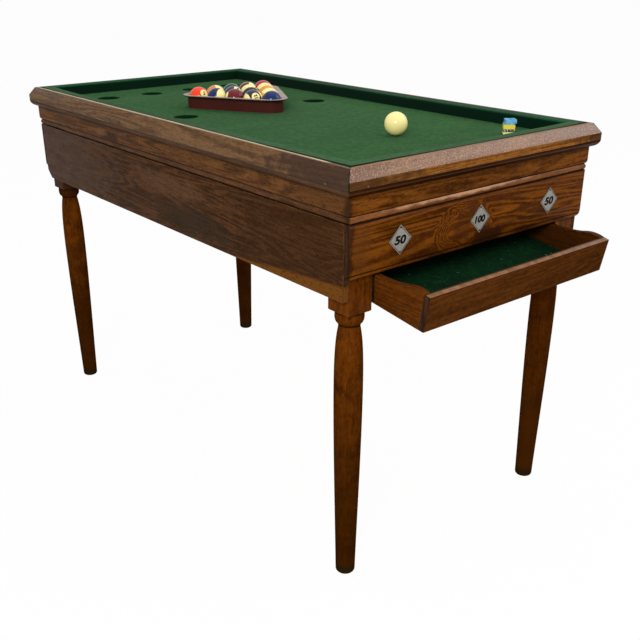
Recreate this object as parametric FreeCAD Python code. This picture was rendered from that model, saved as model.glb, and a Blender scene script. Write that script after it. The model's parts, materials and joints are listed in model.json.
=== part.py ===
import FreeCAD, Part
import math
import os

# Bar billiards table in oak: millimetres, +Z up, +Y from the player's end to the far end, +X to the
# player's right. Everything is drawn about the middle of the four legs' feet. Each piece is then saved
# with the origin on the floor under the middle of the whole outline, drawer included.

# ---- body of the table -------------------------------------------------------------------------
body_width = 656.0           # over the outer faces of the side boards
body_length = 1260.0         # over the outer faces of the front apron and the end board
table_height = 840.0         # floor to the inner arris of the top rail
board_thickness = 13.0       # side boards, front apron and end board
frieze_thickness = 20.0      # frieze boards, thicker because they carry the top rail
post_side = 55.0             # square corner blocks inside the boards
post_easing = 4.0            # rounded foot of the corner blocks
end_rounding = 7.0           # rounded upright corners of the front and end boards
cut_margin = 5.0             # how far cutting solids reach past what they cut

# ---- top rail, in section from the inner arris outwards and down -------------------------------
rail_arris_inset = 7.0       # inner arris, inside the plane of the body
rail_overhang = 15.0         # fascia, outside the plane of the body
rail_flat = 9.0              # level top, from the inner arris to the bevel
rail_bevel_drop = 19.0
rail_fascia = 14.0
rail_ovolo = 14.0            # height of the quarter round under the fascia
rail_seat_drop = 25.0        # arris down to the ledge that carries the cushions

# ---- frieze, bead and boards; depths of the boards are from their top edge down ----------------
frieze_height = 35.0
frieze_lip_height = 8.0      # rounded lower edge of the frieze
frieze_lip_depth = 4.0
bead_height = 13.0
bead_recess = 1.5            # crown of the bead, inside the plane of the body
bead_crown = 3.0             # how far the bead bulges
apron_depth = 99.0
side_board_depth = 141.0
side_board_clip = 20.0       # cut off the far lower corner of each side board
end_board_depth = 115.0
board_corner_radius = 14.0   # lower corners of the apron and of the end board
post_depth = 172.0           # top of the boards down to the top of the leg
foot_round_height = 26.0     # long rounding above the lip of the apron and of the end board
foot_round_depth = 4.5
foot_lip_height = 7.5        # moulded lip along their lower edge
foot_lip_step = 1.7
foot_lip_round = 3.7

# ---- legs; heights on the swell, neck and collar are from the top of the leg down --------------
foot_edge = 3.0
foot_radius = 19.6
shin_radius = 22.6           # the taper above the foot leans towards this radius
shin_height = 150.0
swell_radius = 27.45
swell_drop = 153.0           # fullest part of the leg
swell_below = 120.0          # how far the fullness carries down
swell_above = 85.0           # how far the fullness carries up
shoulder_radius = 23.5       # the shoulder falls to the neck through this radius
shoulder_above_neck = 20.0
neck_radius = 19.7
neck_fillet = 4.0            # square member between the neck and the collar
neck_fillet_radius = 20.6
collar_height = 22.0
collar_radius = 27.3
collar_widest = 9.0          # below the top of the collar
collar_top_radius = 26.2
bolt_radius = 5.0
bolt_in_leg = 70.0
bolt_in_post = 60.0

# ---- bed ---------------------------------------------------------------------------------------
bed_thickness = 12.0
cloth_thickness = 0.8
back_pockets = 4
pocket_play = 5.0                 # pocket radius over the ball's
back_pocket_from_end = 145.5      # centre line of the far pockets, from the end board's face
back_pocket_from_cushion = 95.6   # outer pockets' centres, from the cushion nose
middle_pocket_from_end = 530.3
middle_pocket_from_cushion = 98.2
ledger_side = 20.0

# ---- cushions ----------------------------------------------------------------------------------
cushion_inset = 40.0         # cushion nose, inside the plane of the body
cushion_crown_rise = 1.5     # top of the cushion, above the arris
cushion_nose_radius = 6.0
cushion_back_radius = 3.0
liner_width = 14.0
liner_height = 17.0

# ---- ball run under the bed --------------------------------------------------------------------
run_side_gap = 3.0           # between the run and the inner faces of the drawer sides
run_thickness = 6.0
run_cheek = 12.0
run_rise = 122.0             # from the player's end to the far end
run_lip_inset = 140.0        # front edge of the run, behind the apron's face
run_over_drawer = 1.5        # air between the run and the fully opened drawer
run_end_inset = 60.0         # far end of the run, inside the end board's face

# ---- drawer; depths are from the lower edge of the apron down, reaches from the foot of the front -
drawer_reach = 108.8         # foot of the drawer front, ahead of the apron's face
drawer_depth = 320.0
drawer_board = 13.0
drawer_floor_lift = 4.0      # floor above the lower edge of the sides
drawer_floor_thickness = 6.0
drawer_felt_thickness = 1.2
drawer_floor_rise = 42.5     # the floor falls by this much towards the player
drawer_front_gap = 9.5       # outer top edge of the drawer front under the apron
drawer_front_height = 67.0
drawer_front_lean = 11.8     # how far the top of the front stands ahead of its foot
drawer_front_rise = 3.0      # inner top edge of the front above its outer top edge
drawer_side_gap = 5.5        # top of the drawer sides, inside the table
drawer_scoop_back = 121.8    # where the level top gives way to the ogee
drawer_dip_gap = 7.5         # lowest point of the ogee
drawer_dip_back = 78.8
drawer_middle_gap = 4.7      # where the ogee changes from hollow to hump
drawer_middle_back = 47.8
drawer_hump_gap = 1.8
drawer_hump_back = 25.8
drawer_travel_out = 60.0

# ---- drawer guides -----------------------------------------------------------------------------
guide_gap = 6.0              # between the drawer sides and the corner blocks
side_clearance = 0.5
guide_drop = 6.0             # top of the guides, under the lower edge of the apron
guide_height = 50.0
slot_drop = 10.0             # slot, under the top of the guide
slot_height = 14.0
cleat_back_inset = 6.0
stop_clearance = 0.3
front_stop = 37.0
rear_stop = 12.0
packing_length = 45.0

# ---- score plates and fixings ------------------------------------------------------------------
plate_side = 38.5
plate_thickness = 1.0
plate_drop = 46.0            # centre, below the top edge of the apron
plate_from_side = 119.0      # centres of the outer plates, from the side of the body
pin_radius = 0.8
pin_head_radius = 1.7
pin_head = 0.8
pin_length = 8.0
pin_from_corner = 5.0
screw_radius = 2.2
screw_head_radius = 4.2
screw_head = 2.5
screw_drop = 45.0            # below the top edge of the boards
screw_stagger = 9.0          # the two screws of a block pass above each other
screw_grip = 8.0             # length of screw in the board
nail_radius = 1.5
nail_length = 30.0
nail_rise = 2.5              # above the lower edge of the fascia
side_nail_inset = 44.0       # from the corner of the body, along the long rails
end_nail_inset = 27.0        # from the corner of the body, along the short rails

# ---- play set ----------------------------------------------------------------------------------
ball_diameter = 48.0
ball_gap = 0.3
rest_gap = 0.3               # loose pieces stand this far off the cloth
rack_rows = 5
rack_centre_x = 4.0
rack_centre_from_end = 490.0
rack_height = 31.0
rack_wall = 3.3
rack_ball_clearance = 0.4
rack_flange = 10.7
rack_flange_thickness = 2.0
cue_ball_x = 15.0
cue_ball_from_front = 249.0
chalk_side = 22.5
chalk_edge = 1.2
chalk_lower_height = 22.5
chalk_upper_height = 7.5
chalk_hollow_radius = 30.0
chalk_hollow_depth = 2.5
chalk_from_side = 121.0
chalk_from_front = 115.0
chalk_angle = -45.0
chalk_upper_angle = -39.0
chalk_upper_shift = 1.5
label_thickness = 0.3
label_height = 19.0
label_lift = 1.0

# ---- heights and planes that follow ------------------------------------------------------------
half_w = body_width / 2
half_l = body_length / 2
front = -half_l
rail_outer_top = table_height - rail_bevel_drop
fascia_bottom = rail_outer_top - rail_fascia
rail_bottom = fascia_bottom - rail_ovolo
bed_top = table_height - rail_seat_drop
bed_bottom = bed_top - bed_thickness
cloth_top = bed_top + cloth_thickness
frieze_bottom = rail_bottom - frieze_height
board_top = frieze_bottom - bead_height
apron_bottom = board_top - apron_depth
side_board_bottom = board_top - side_board_depth
end_board_bottom = board_top - end_board_depth
post_bottom = board_top - post_depth
post_centre_inset = board_thickness + post_side / 2
post_inner_inset = board_thickness + post_side
guide_face = half_w - post_inner_inset
guide_top = apron_bottom - guide_drop
guide_bottom = guide_top - guide_height
slot_top = guide_top - slot_drop
slot_bottom = slot_top - slot_height
drawer_half = guide_face - guide_gap
drawer_inner = drawer_half - drawer_board
drawer_front_top = apron_bottom - drawer_front_gap
drawer_front_foot = drawer_front_top - drawer_front_height
drawer_foot_y = front - drawer_reach
drawer_back_y = drawer_foot_y + drawer_depth
drawer_travel_in = drawer_reach + drawer_front_lean
run_outer = drawer_inner - run_side_gap
run_half_width = run_outer - run_cheek
outline_shift = (drawer_travel_in - rail_overhang) / 2

up = FreeCAD.Vector(0, 0, 1)
inward = FreeCAD.Vector(0, 1, 0)

corners = {
    "front_left": (-1, -1),
    "front_right": (1, -1),
    "back_left": (-1, 1),
    "back_right": (1, 1),
}

os.makedirs("parts", exist_ok=True)


def vec(x, y, z):
    return FreeCAD.Vector(x, y, z)


def box(xs, ys, zs):
    """Box between two values along each axis, given in either order."""
    low = vec(min(xs), min(ys), min(zs))
    return Part.makeBox(abs(xs[1] - xs[0]), abs(ys[1] - ys[0]), abs(zs[1] - zs[0]), low)


def rod(radius, length, start, direction):
    return Part.makeCylinder(radius, length, start, direction)


def save(name, *solids):
    shape = solids[0] if len(solids) == 1 else Part.makeCompound(list(solids))
    shape.translated(inward * outline_shift).exportStep("parts/%s.step" % name)


def face_from(edges):
    return Part.Face(Part.Wire(edges))


def polygon_face(points):
    return Part.Face(Part.makePolygon(points + [points[0]]))


# ---- sections drawn across one side of the table -----------------------------------------------
# A section is a face drawn with place(out, z): out is measured outwards from the plane of the body.

# Each side: outward direction, direction along it, half size outwards, half size along.
sides = {
    "front": (vec(0, -1, 0), vec(1, 0, 0), half_l, half_w),
    "back": (vec(0, 1, 0), vec(-1, 0, 0), half_l, half_w),
    "left": (vec(-1, 0, 0), vec(0, -1, 0), half_w, half_l),
    "right": (vec(1, 0, 0), vec(0, 1, 0), half_w, half_l),
}


def placer(side, start_along):
    out, along, half_out, half_along = sides[side]

    def place(o, z):
        return out * (half_out + o) - along * start_along + vec(0, 0, z)

    return place


def lines(place, *points):
    """Straight edges through the section points."""
    return [Part.makeLine(place(*a), place(*b)) for a, b in zip(points, points[1:])]


def quarter(place, start, end, corner):
    """Quarter round from start to end, bulging towards the corner."""
    pull = 4.0 / 3.0 * (math.sqrt(2) - 1)
    first = tuple(s + (c - s) * pull for s, c in zip(start, corner))
    second = tuple(e + (c - e) * pull for e, c in zip(end, corner))
    curve = Part.BezierCurve()
    curve.setPoles([place(*start), place(*first), place(*second), place(*end)])
    return curve.toShape()


def mitred(section, side):
    """Run a section along one side of the table and mitre both ends."""
    out, along, half_out, half_along = sides[side]
    reach = rail_overhang + cut_margin
    depth = cushion_inset + cut_margin
    bar = section(placer(side, half_along + reach)).extrude(along * 2 * (half_along + reach))
    plan = polygon_face([
        out * (half_out + reach) - along * (half_along + reach),
        out * (half_out + reach) + along * (half_along + reach),
        out * (half_out - depth) + along * (half_along - depth),
        out * (half_out - depth) - along * (half_along - depth),
    ])
    return bar.common(plan.extrude(up * (table_height + cut_margin))).Solids[0]


# ---- top rail ----------------------------------------------------------------------------------
def rail_section(place):
    arris = (-rail_arris_inset, table_height)
    flat_end = (rail_flat - rail_arris_inset, table_height)
    bevel_end = (rail_overhang, rail_outer_top)
    fascia_end = (rail_overhang, fascia_bottom)
    ovolo_end = (0, rail_bottom)
    back_low = (-frieze_thickness, rail_bottom)
    back_high = (-frieze_thickness, bed_top)
    seat = (-rail_arris_inset, bed_top)
    return face_from(
        lines(place, arris, flat_end, bevel_end, fascia_end)
        + [quarter(place, fascia_end, ovolo_end, (rail_overhang, rail_bottom))]
        + lines(place, ovolo_end, back_low, back_high, seat, arris))


def rail_nails():
    """A nail near each end of every rail, from the fascia inwards."""
    nails = []
    height = fascia_bottom + nail_rise
    for sx, sy in corners.values():
        at_side = vec(sx * (half_w + rail_overhang), sy * (half_l - side_nail_inset), height)
        nails.append(rod(nail_radius, nail_length, at_side, vec(-sx, 0, 0)))
        at_end = vec(sx * (half_w - end_nail_inset), sy * (half_l + rail_overhang), height)
        nails.append(rod(nail_radius, nail_length, at_end, vec(0, -sy, 0)))
    return nails


def make_rails():
    nails = rail_nails()
    for side in sides:
        save("rail_" + side, mitred(rail_section, side).cut(nails).Solids[0])
    save("rail_nails", *nails)


# ---- frieze and bead ---------------------------------------------------------------------------
def frieze_section(place):
    top_out = (0, rail_bottom)
    lip_start = (0, frieze_bottom + frieze_lip_height)
    lip_end = (-frieze_lip_depth, frieze_bottom)
    low_in = (-frieze_thickness, frieze_bottom)
    top_in = (-frieze_thickness, rail_bottom)
    return face_from(
        lines(place, top_out, lip_start)
        + [quarter(place, lip_start, lip_end, (0, frieze_bottom))]
        + lines(place, lip_end, low_in, top_in, top_out))


def bead_section(place):
    crown = (-bead_recess, board_top + bead_height / 2)
    top = (-bead_recess - bead_crown, frieze_bottom)
    low = (-bead_recess - bead_crown, board_top)
    back_low = (-board_thickness, board_top)
    back_top = (-board_thickness, frieze_bottom)
    return face_from(
        [Part.Arc(place(*top), place(*crown), place(*low)).toShape()]
        + lines(place, low, back_low, back_top, top))


def make_friezes_and_beads():
    for side in sides:
        save("frieze_" + side, mitred(frieze_section, side))
        save("bead_" + side, mitred(bead_section, side))


# ---- boards of the body ------------------------------------------------------------------------
def cross_board(side, bottom):
    """Front apron or end board: full width, rounded corners, with a rounding and a lip at its foot."""
    out, along, half_out, half_along = sides[side]
    lip_top = bottom + foot_lip_height
    lip_out = foot_lip_step - foot_round_depth
    start = (0, lip_top + foot_round_height)
    quirk = (-foot_round_depth, lip_top)
    lip = (lip_out, lip_top)
    lip_end = (lip_out - foot_lip_round, bottom)
    inner_low = (-board_thickness, bottom)
    inner_top = (-board_thickness, board_top)
    place = placer(side, half_along)
    board = face_from(
        lines(place, (0, board_top), start)
        + [quarter(place, start, quirk, (0, lip_top))]
        + lines(place, quirk, lip)
        + [quarter(place, lip, lip_end, (lip_out, bottom))]
        + lines(place, lip_end, inner_low, inner_top, (0, board_top))).extrude(along * 2 * half_along)
    outer = out.y * half_l
    plank = box((-half_w, half_w), (outer, outer - out.y * board_thickness), (bottom, board_top))
    upright = [e for e in plank.Edges
               if abs(e.tangentAt(e.FirstParameter).z) > 0.5 and abs(e.CenterOfMass.y - outer) < 1]
    lower = [e for e in plank.Edges
             if abs(e.tangentAt(e.FirstParameter).y) > 0.5 and e.CenterOfMass.z < bottom + 1]
    eased = plank.makeFillet(end_rounding, upright)
    rounded = plank.makeFillet(board_corner_radius, lower)
    return board.common(eased).common(rounded).Solids[0]


def plate_places():
    """Centres of the three plates on the apron's face, from left to right."""
    return [vec(i * (half_w - plate_from_side), front, board_top - plate_drop) for i in (-1, 0, 1)]


def plate_pin_places():
    """Top and bottom corner of each diamond plate, on the apron's face."""
    reach = plate_side / math.sqrt(2) - pin_from_corner
    return [centre + up * s * reach for centre in plate_places() for s in (-1, 1)]


def block_screws():
    """Two screws through each corner block from inside, one into each board that it joins."""
    screws = []
    reach = post_side + screw_grip
    height = board_top - screw_drop
    for sx, sy in corners.values():
        into_side = vec(sx * (half_w - post_inner_inset), sy * (half_l - post_centre_inset), height)
        into_end = vec(sx * (half_w - post_centre_inset), sy * (half_l - post_inner_inset),
                       height + screw_stagger)
        for start, direction in ((into_side, vec(sx, 0, 0)), (into_end, vec(0, sy, 0))):
            shank = rod(screw_radius, reach, start, direction)
            head = rod(screw_head_radius, screw_head, start - direction * screw_head, direction)
            screws.append(shank.fuse(head).removeSplitter())
    return screws


def make_boards(screws):
    pins = [rod(pin_radius, pin_length, p, inward) for p in plate_pin_places()]
    save("apron_front", cross_board("front", apron_bottom).cut(pins + screws).Solids[0])
    save("end_board", cross_board("back", end_board_bottom).cut(screws).Solids[0])
    for name, s in (("side_board_left", -1), ("side_board_right", 1)):
        far_end = half_l - board_thickness
        board = box((s * half_w, s * (half_w - board_thickness)), (-far_end, far_end),
                    (side_board_bottom, board_top))
        far_corner = [e for e in board.Edges
                      if e.BoundBox.YMin > far_end - 1 and e.BoundBox.ZMax < side_board_bottom + 1]
        save(name, board.makeChamfer(side_board_clip, far_corner).cut(screws).Solids[0])


# ---- corner blocks, legs and bolts -------------------------------------------------------------
def corner_block(sx, sy, screws, bolt):
    block = box((sx * (half_w - board_thickness), sx * (half_w - post_inner_inset)),
                (sy * (half_l - board_thickness), sy * (half_l - post_inner_inset)),
                (post_bottom, frieze_bottom))
    foot = [e for e in block.Edges if e.BoundBox.ZMax < post_bottom + post_easing]
    return block.makeFillet(post_easing, foot).cut(screws + [bolt]).Solids[0]


def leg_profile():
    """Half outline of the turned leg: foot, long taper, swell, neck, fillet and collar."""
    def at(radius, height):
        return vec(radius, 0, height)

    def curve(*poles):
        bend = Part.BezierCurve()
        bend.setPoles([at(*pole) for pole in poles])
        return bend.toShape()

    collar_low = post_bottom - collar_height
    fillet_low = collar_low - neck_fillet
    swell_height = post_bottom - swell_drop
    swell = (swell_radius, swell_height)
    neck = (neck_radius, fillet_low)
    taper = curve((foot_radius, foot_edge), (shin_radius, shin_height),
                  (swell_radius, swell_height - swell_below), swell)
    shoulder = curve(swell, (swell_radius, swell_height + swell_above),
                     (shoulder_radius, fillet_low - shoulder_above_neck), neck)
    axis_foot = (0, 0)
    sole = (foot_radius - foot_edge, 0)
    widest = (collar_radius, post_bottom - collar_widest)
    fillet_top = (neck_fillet_radius, collar_low)
    return face_from(
        lines(at, axis_foot, sole)
        + [quarter(at, sole, (foot_radius, foot_edge), (foot_radius, 0)), taper, shoulder]
        + lines(at, neck, (neck_fillet_radius, fillet_low), fillet_top)
        + [quarter(at, fillet_top, widest, (collar_radius, collar_low))]
        + [quarter(at, widest, (collar_top_radius, post_bottom), (collar_radius, post_bottom))]
        + lines(at, (collar_top_radius, post_bottom), (0, post_bottom), axis_foot))


def make_legs(screws):
    turned = leg_profile().revolve(vec(0, 0, 0), up, 360)
    bolts = []
    for name, (sx, sy) in corners.items():
        axis = vec(sx * (half_w - post_centre_inset), sy * (half_l - post_centre_inset), 0)
        bolt = rod(bolt_radius, bolt_in_leg + bolt_in_post, axis + up * (post_bottom - bolt_in_leg), up)
        leg = turned.copy()
        leg.translate(axis)
        bolts.append(bolt)
        save("leg_" + name, leg.cut(bolt).Solids[0])
        save("corner_block_" + name, corner_block(sx, sy, screws, bolt))
    save("leg_bolts", *bolts)


# ---- bed ---------------------------------------------------------------------------------------
def pocket_places():
    nose = half_w - cushion_inset
    outer = nose - back_pocket_from_cushion
    step = 2 * outer / (back_pockets - 1)
    row = [(i * step - outer, half_l - back_pocket_from_end) for i in range(back_pockets)]
    pair = [(s * (nose - middle_pocket_from_cushion), half_l - middle_pocket_from_end) for s in (-1, 1)]
    return row + pair


def make_bed():
    bed_x = half_w - frieze_thickness
    bed_y = half_l - frieze_thickness
    cloth_x = half_w - cushion_inset
    cloth_y = half_l - cushion_inset
    drill = bed_thickness + 2 * cut_margin
    pocket_radius = ball_diameter / 2 + pocket_play
    holes = [rod(pocket_radius, drill, vec(x, y, bed_bottom - cut_margin), up) for x, y in pocket_places()]
    board = box((-bed_x, bed_x), (-bed_y, bed_y), (bed_bottom, bed_top))
    cloth = box((-cloth_x, cloth_x), (-cloth_y, cloth_y), (bed_top, cloth_top))
    save("bed_board", board.cut(holes).Solids[0])
    save("bed_cloth", cloth.cut(holes).Solids[0])
    level = (bed_bottom - ledger_side, bed_bottom)
    long_reach = bed_y - ledger_side
    ledgers = []
    for s in (-1, 1):
        ledgers.append(box((s * bed_x, s * (bed_x - ledger_side)), (-long_reach, long_reach), level))
        ledgers.append(box((-bed_x, bed_x), (s * bed_y, s * (bed_y - ledger_side)), level))
    save("bed_ledgers", *ledgers)


# ---- cushions ----------------------------------------------------------------------------------
liner_top = bed_top + liner_height
liner_inner = -rail_arris_inset - liner_width


def liner_section(place):
    back = -rail_arris_inset
    return face_from(lines(place, (back, bed_top), (back, liner_top), (liner_inner, liner_top),
                           (liner_inner, bed_top), (back, bed_top)))


def cushion_section(place):
    """Cloth-covered rubber over the liner's top and front, with a rounded nose."""
    back = -rail_arris_inset
    nose = -cushion_inset
    crown = table_height + cushion_crown_rise
    back_end = (back, crown - cushion_back_radius)
    back_top = (back - cushion_back_radius, crown)
    nose_top = (nose + cushion_nose_radius, crown)
    nose_end = (nose, crown - cushion_nose_radius)
    return face_from(
        lines(place, (back, liner_top), back_end)
        + [quarter(place, back_end, back_top, (back, crown))]
        + lines(place, back_top, nose_top)
        + [quarter(place, nose_top, nose_end, (nose, crown))]
        + lines(place, nose_end, (nose, bed_top), (liner_inner, bed_top), (liner_inner, liner_top),
                (back, liner_top)))


def make_cushions():
    for side in sides:
        save("cushion_" + side, mitred(cushion_section, side))
    save("cushion_liners", *[mitred(liner_section, side) for side in sides])


# ---- drawer floor line and ball run ------------------------------------------------------------
drawer_slope = drawer_floor_rise / drawer_depth


def drawer_foot_line(y):
    """Lower edge of the drawer sides, with the drawer at rest."""
    return drawer_front_foot + drawer_slope * (y - drawer_foot_y)


felt_lift = drawer_floor_lift + drawer_floor_thickness + drawer_felt_thickness
run_front_y = front + run_lip_inset
run_back_y = half_l - run_end_inset
run_lip = drawer_foot_line(run_front_y + drawer_travel_out) + felt_lift + run_over_drawer


def run_under(y):
    return run_lip + run_rise * (y - run_front_y) / (run_back_y - run_front_y)


def run_top(y):
    return run_under(y) + run_thickness


def profile_in_yz(points, xs):
    """Prism with an outline drawn in the YZ plane, between two values of X."""
    face = polygon_face([vec(min(xs), y, z) for y, z in points])
    return face.extrude(vec(abs(xs[1] - xs[0]), 0, 0))


def layer_along(line, y0, y1, thickness, xs):
    """Layer that lies along a slanting line between two values of Y."""
    return profile_in_yz(
        [(y0, line(y0)), (y1, line(y1)), (y1, line(y1) + thickness), (y0, line(y0) + thickness)], xs)


def wall_on_run(y0, y1, xs):
    """Upright board that stands on the run floor and reaches the bed board."""
    return profile_in_yz([(y0, run_top(y0)), (y1, run_top(y1)), (y1, bed_bottom), (y0, bed_bottom)], xs)


def make_run():
    between = (-run_half_width, run_half_width)
    stop_y = run_back_y - run_cheek
    save("run_floor", layer_along(run_under, run_front_y, run_back_y, run_thickness, (-run_outer, run_outer)))
    save("run_cheek_left", wall_on_run(run_front_y, run_back_y, (-run_outer, -run_half_width)))
    save("run_cheek_right", wall_on_run(run_front_y, run_back_y, (run_half_width, run_outer)))
    save("run_end_stop", wall_on_run(stop_y, run_back_y, between))
    save("run_cloth", layer_along(run_top, run_front_y, stop_y, cloth_thickness, between))


# ---- drawer ------------------------------------------------------------------------------------
lean = drawer_front_lean / drawer_front_height


def front_inner_y(z):
    """Inner face of the leaning drawer front at a height."""
    return drawer_foot_y + drawer_board - lean * (z - drawer_front_foot)


def against_front(lift):
    """Where a line lifted off the foot line meets the inner face of the front: Y and height."""
    y = drawer_foot_y + (drawer_board - lean * lift) / (1 + lean * drawer_slope)
    return (y, drawer_foot_line(y) + lift)


front_inner_top = drawer_front_top + drawer_front_rise


def drawer_side(x):
    """Side board with an ogee along its top, from x towards +X."""
    def at(y, z):
        return vec(x, y, z)

    foot = against_front(0)
    shoulder = (front_inner_y(front_inner_top), front_inner_top)
    side_top = apron_bottom - drawer_side_gap
    back_low = (drawer_back_y, drawer_foot_line(drawer_back_y))
    back_high = (drawer_back_y, side_top)
    scoop = (drawer_foot_y + drawer_scoop_back, side_top)
    dip = (drawer_foot_y + drawer_dip_back, apron_bottom - drawer_dip_gap)
    middle = (drawer_foot_y + drawer_middle_back, apron_bottom - drawer_middle_gap)
    hump = (drawer_foot_y + drawer_hump_back, apron_bottom - drawer_hump_gap)
    return face_from(
        lines(at, shoulder, foot, back_low, back_high, scoop)
        + [Part.Arc(at(*scoop), at(*dip), at(*middle)).toShape()]
        + [Part.Arc(at(*middle), at(*hump), at(*shoulder)).toShape()]).extrude(vec(drawer_board, 0, 0))


def drawer_layer(lift, thickness):
    """Layer of the drawer floor that ends against the leaning front."""
    back = drawer_foot_line(drawer_back_y) + lift
    return profile_in_yz(
        [against_front(lift), (drawer_back_y, back), (drawer_back_y, back + thickness),
         against_front(lift + thickness)], (-drawer_inner, drawer_inner))


def make_drawer():
    save("drawer_front", profile_in_yz([
        (drawer_foot_y, drawer_front_foot),
        (drawer_foot_y - drawer_front_lean, drawer_front_top),
        (front_inner_y(front_inner_top), front_inner_top),
        against_front(0)], (-drawer_half, drawer_half)))
    save("drawer_side_left", drawer_side(-drawer_half))
    save("drawer_side_right", drawer_side(drawer_inner))
    save("drawer_floor", drawer_layer(drawer_floor_lift, drawer_floor_thickness))
    save("drawer_felt", drawer_layer(drawer_floor_lift + drawer_floor_thickness, drawer_felt_thickness))


# ---- drawer guides, cleats and stops -----------------------------------------------------------
def make_guides():
    guide_front = front + board_thickness
    stop_face = guide_front + front_stop
    cleat_front = stop_face + stop_clearance + drawer_travel_out
    cleat_back = drawer_back_y - cleat_back_inset
    back_stop = cleat_back + drawer_travel_in + stop_clearance
    guide_back = back_stop + rear_stop
    cleats = []
    stops = []
    packings = []
    for name, s in (("left", -1), ("right", 1)):
        across = (s * (drawer_half + side_clearance), s * guide_face)
        lower = box(across, (guide_front, guide_back), (guide_bottom, slot_bottom))
        upper = box(across, (guide_front, guide_back), (slot_top, guide_top))
        save("drawer_guide_" + name, lower, upper)
        stops.append(box(across, (guide_front, stop_face), (slot_bottom, slot_top)))
        stops.append(box(across, (back_stop, guide_back), (slot_bottom, slot_top)))
        cleats.append(box((s * drawer_half, s * (guide_face - side_clearance)), (cleat_front, cleat_back),
                          (slot_bottom + side_clearance, slot_top - side_clearance)))
        packings.append(box((s * guide_face, s * (half_w - board_thickness)),
                            (guide_back - packing_length, guide_back), (side_board_bottom, board_top)))
    save("drawer_cleats", *cleats)
    save("drawer_stops", *stops)
    save("guide_packings", *packings)


# ---- score plates ------------------------------------------------------------------------------
def make_plates():
    places = plate_pin_places()
    through = [rod(pin_radius, pin_length, p - inward * plate_thickness, inward) for p in places]
    half = plate_side / 2
    for name, centre in zip(("plate_50_left", "plate_100", "plate_50_right"), plate_places()):
        plate = box((-half, half), (-plate_thickness, 0), (-half, half))
        plate.rotate(vec(0, 0, 0), inward, 45)
        plate.translate(centre)
        save(name, plate.cut(through).Solids[0])
    pins = []
    for p in places:
        shank = rod(pin_radius, plate_thickness + pin_length, p - inward * plate_thickness, inward)
        head = rod(pin_head_radius, pin_head, p - inward * (plate_thickness + pin_head), inward)
        pins.append(head.fuse(shank).removeSplitter())
    save("plate_pins", *pins)


# ---- play set ----------------------------------------------------------------------------------
ball_radius = ball_diameter / 2
ball_step = ball_diameter + ball_gap
set_base = cloth_top + rest_gap
ball_height = set_base + ball_radius
rack_y = half_l - rack_centre_from_end
rack_reach = (rack_rows - 1) * ball_step / math.sqrt(3)
corner_angle = 360 / 3


def direction_at(degrees):
    return vec(math.cos(math.radians(degrees)), math.sin(math.radians(degrees)), 0)


def rack_corner(k):
    """Centre of a corner ball; corner 0 is the apex, which points at the player."""
    return vec(rack_centre_x, rack_y, 0) + direction_at(corner_angle * k - 90) * rack_reach


def rounded_triangle(offset, z):
    """Outline at one distance from the triangle through the corner balls' centres."""
    edges = []
    for k in range(3):
        middle = corner_angle * k - 90
        last = middle + corner_angle / 2
        centre = rack_corner(k) + up * z
        ends = [centre + direction_at(a) * offset for a in (middle - corner_angle / 2, middle, last)]
        following = rack_corner(k + 1) + up * z + direction_at(last) * offset
        edges.append(Part.Arc(*ends).toShape())
        edges.append(Part.makeLine(ends[2], following))
    return face_from(edges)


def make_rack_and_balls():
    inner = ball_radius + rack_ball_clearance
    outer = inner + rack_wall
    wall = rounded_triangle(outer, set_base).extrude(up * rack_height)
    flange_base = set_base + rack_height - rack_flange_thickness
    flange = rounded_triangle(outer + rack_flange, flange_base).extrude(up * rack_flange_thickness)
    hollow = rounded_triangle(inner, set_base - cut_margin).extrude(up * (rack_height + 2 * cut_margin))
    save("rack_triangle", wall.fuse(flange).cut(hollow).removeSplitter().Solids[0])

    apex = rack_corner(0)
    balls = []
    for row in range(rack_rows):
        for i in range(row + 1):
            x = apex.x + (i - row / 2) * ball_step
            y = apex.y + row * ball_step * math.sqrt(3) / 2
            balls.append(Part.makeSphere(ball_radius, vec(x, y, ball_height)))
    save("racked_balls", *balls)
    save("cue_ball", Part.makeSphere(ball_radius, vec(cue_ball_x, front + cue_ball_from_front, ball_height)))


def chalk_block(height):
    half = chalk_side / 2
    block = box((-half, half), (-half, half), (0, height))
    upright = [e for e in block.Edges if abs(e.tangentAt(e.FirstParameter).z) > 0.5]
    return block.makeFillet(chalk_edge, upright)


def make_chalk():
    """A worn piece of chalk on a whole one, which wears a paper label."""
    lower = chalk_block(chalk_lower_height)
    dish = vec(0, 0, chalk_upper_height + chalk_hollow_radius - chalk_hollow_depth)
    upper = chalk_block(chalk_upper_height).cut(Part.makeSphere(chalk_hollow_radius, dish)).Solids[0]
    around = chalk_side / 2 + label_thickness
    label = box((-around, around), (-around, around), (label_lift, label_lift + label_height))
    label = label.cut(lower).Solids[0]
    place = vec(half_w - chalk_from_side, front + chalk_from_front, set_base)
    top = place + vec(chalk_upper_shift, -chalk_upper_shift, chalk_lower_height)
    for name, shape, turn, at in (
            ("chalk_lower", lower, chalk_angle, place),
            ("chalk_label", label, chalk_angle, place),
            ("chalk_upper", upper, chalk_upper_angle, top)):
        shape.rotate(vec(0, 0, 0), up, turn)
        shape.translate(at)
        save(name, shape)


all_screws = block_screws()
make_rails()
make_friezes_and_beads()
make_boards(all_screws)
make_legs(all_screws)
save("block_screws", *all_screws)
make_bed()
make_cushions()
make_run()
make_drawer()
make_guides()
make_plates()
make_rack_and_balls()
make_chalk()
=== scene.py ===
# %% [markdown]
# # A small oak bar billiards table
# The construction comes in as a fixed frame: every board, leg and screw is already at its real size.
# This lesson dresses it. Hard pieces whose shape is right keep it and get eased edges and a finish.
# Cloth, cushions, balls, legs and plates are modelled again, because they need rounder or softer forms.

import json
import math
import random

import bmesh
import bpy
from mathutils import Matrix, Vector

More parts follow.
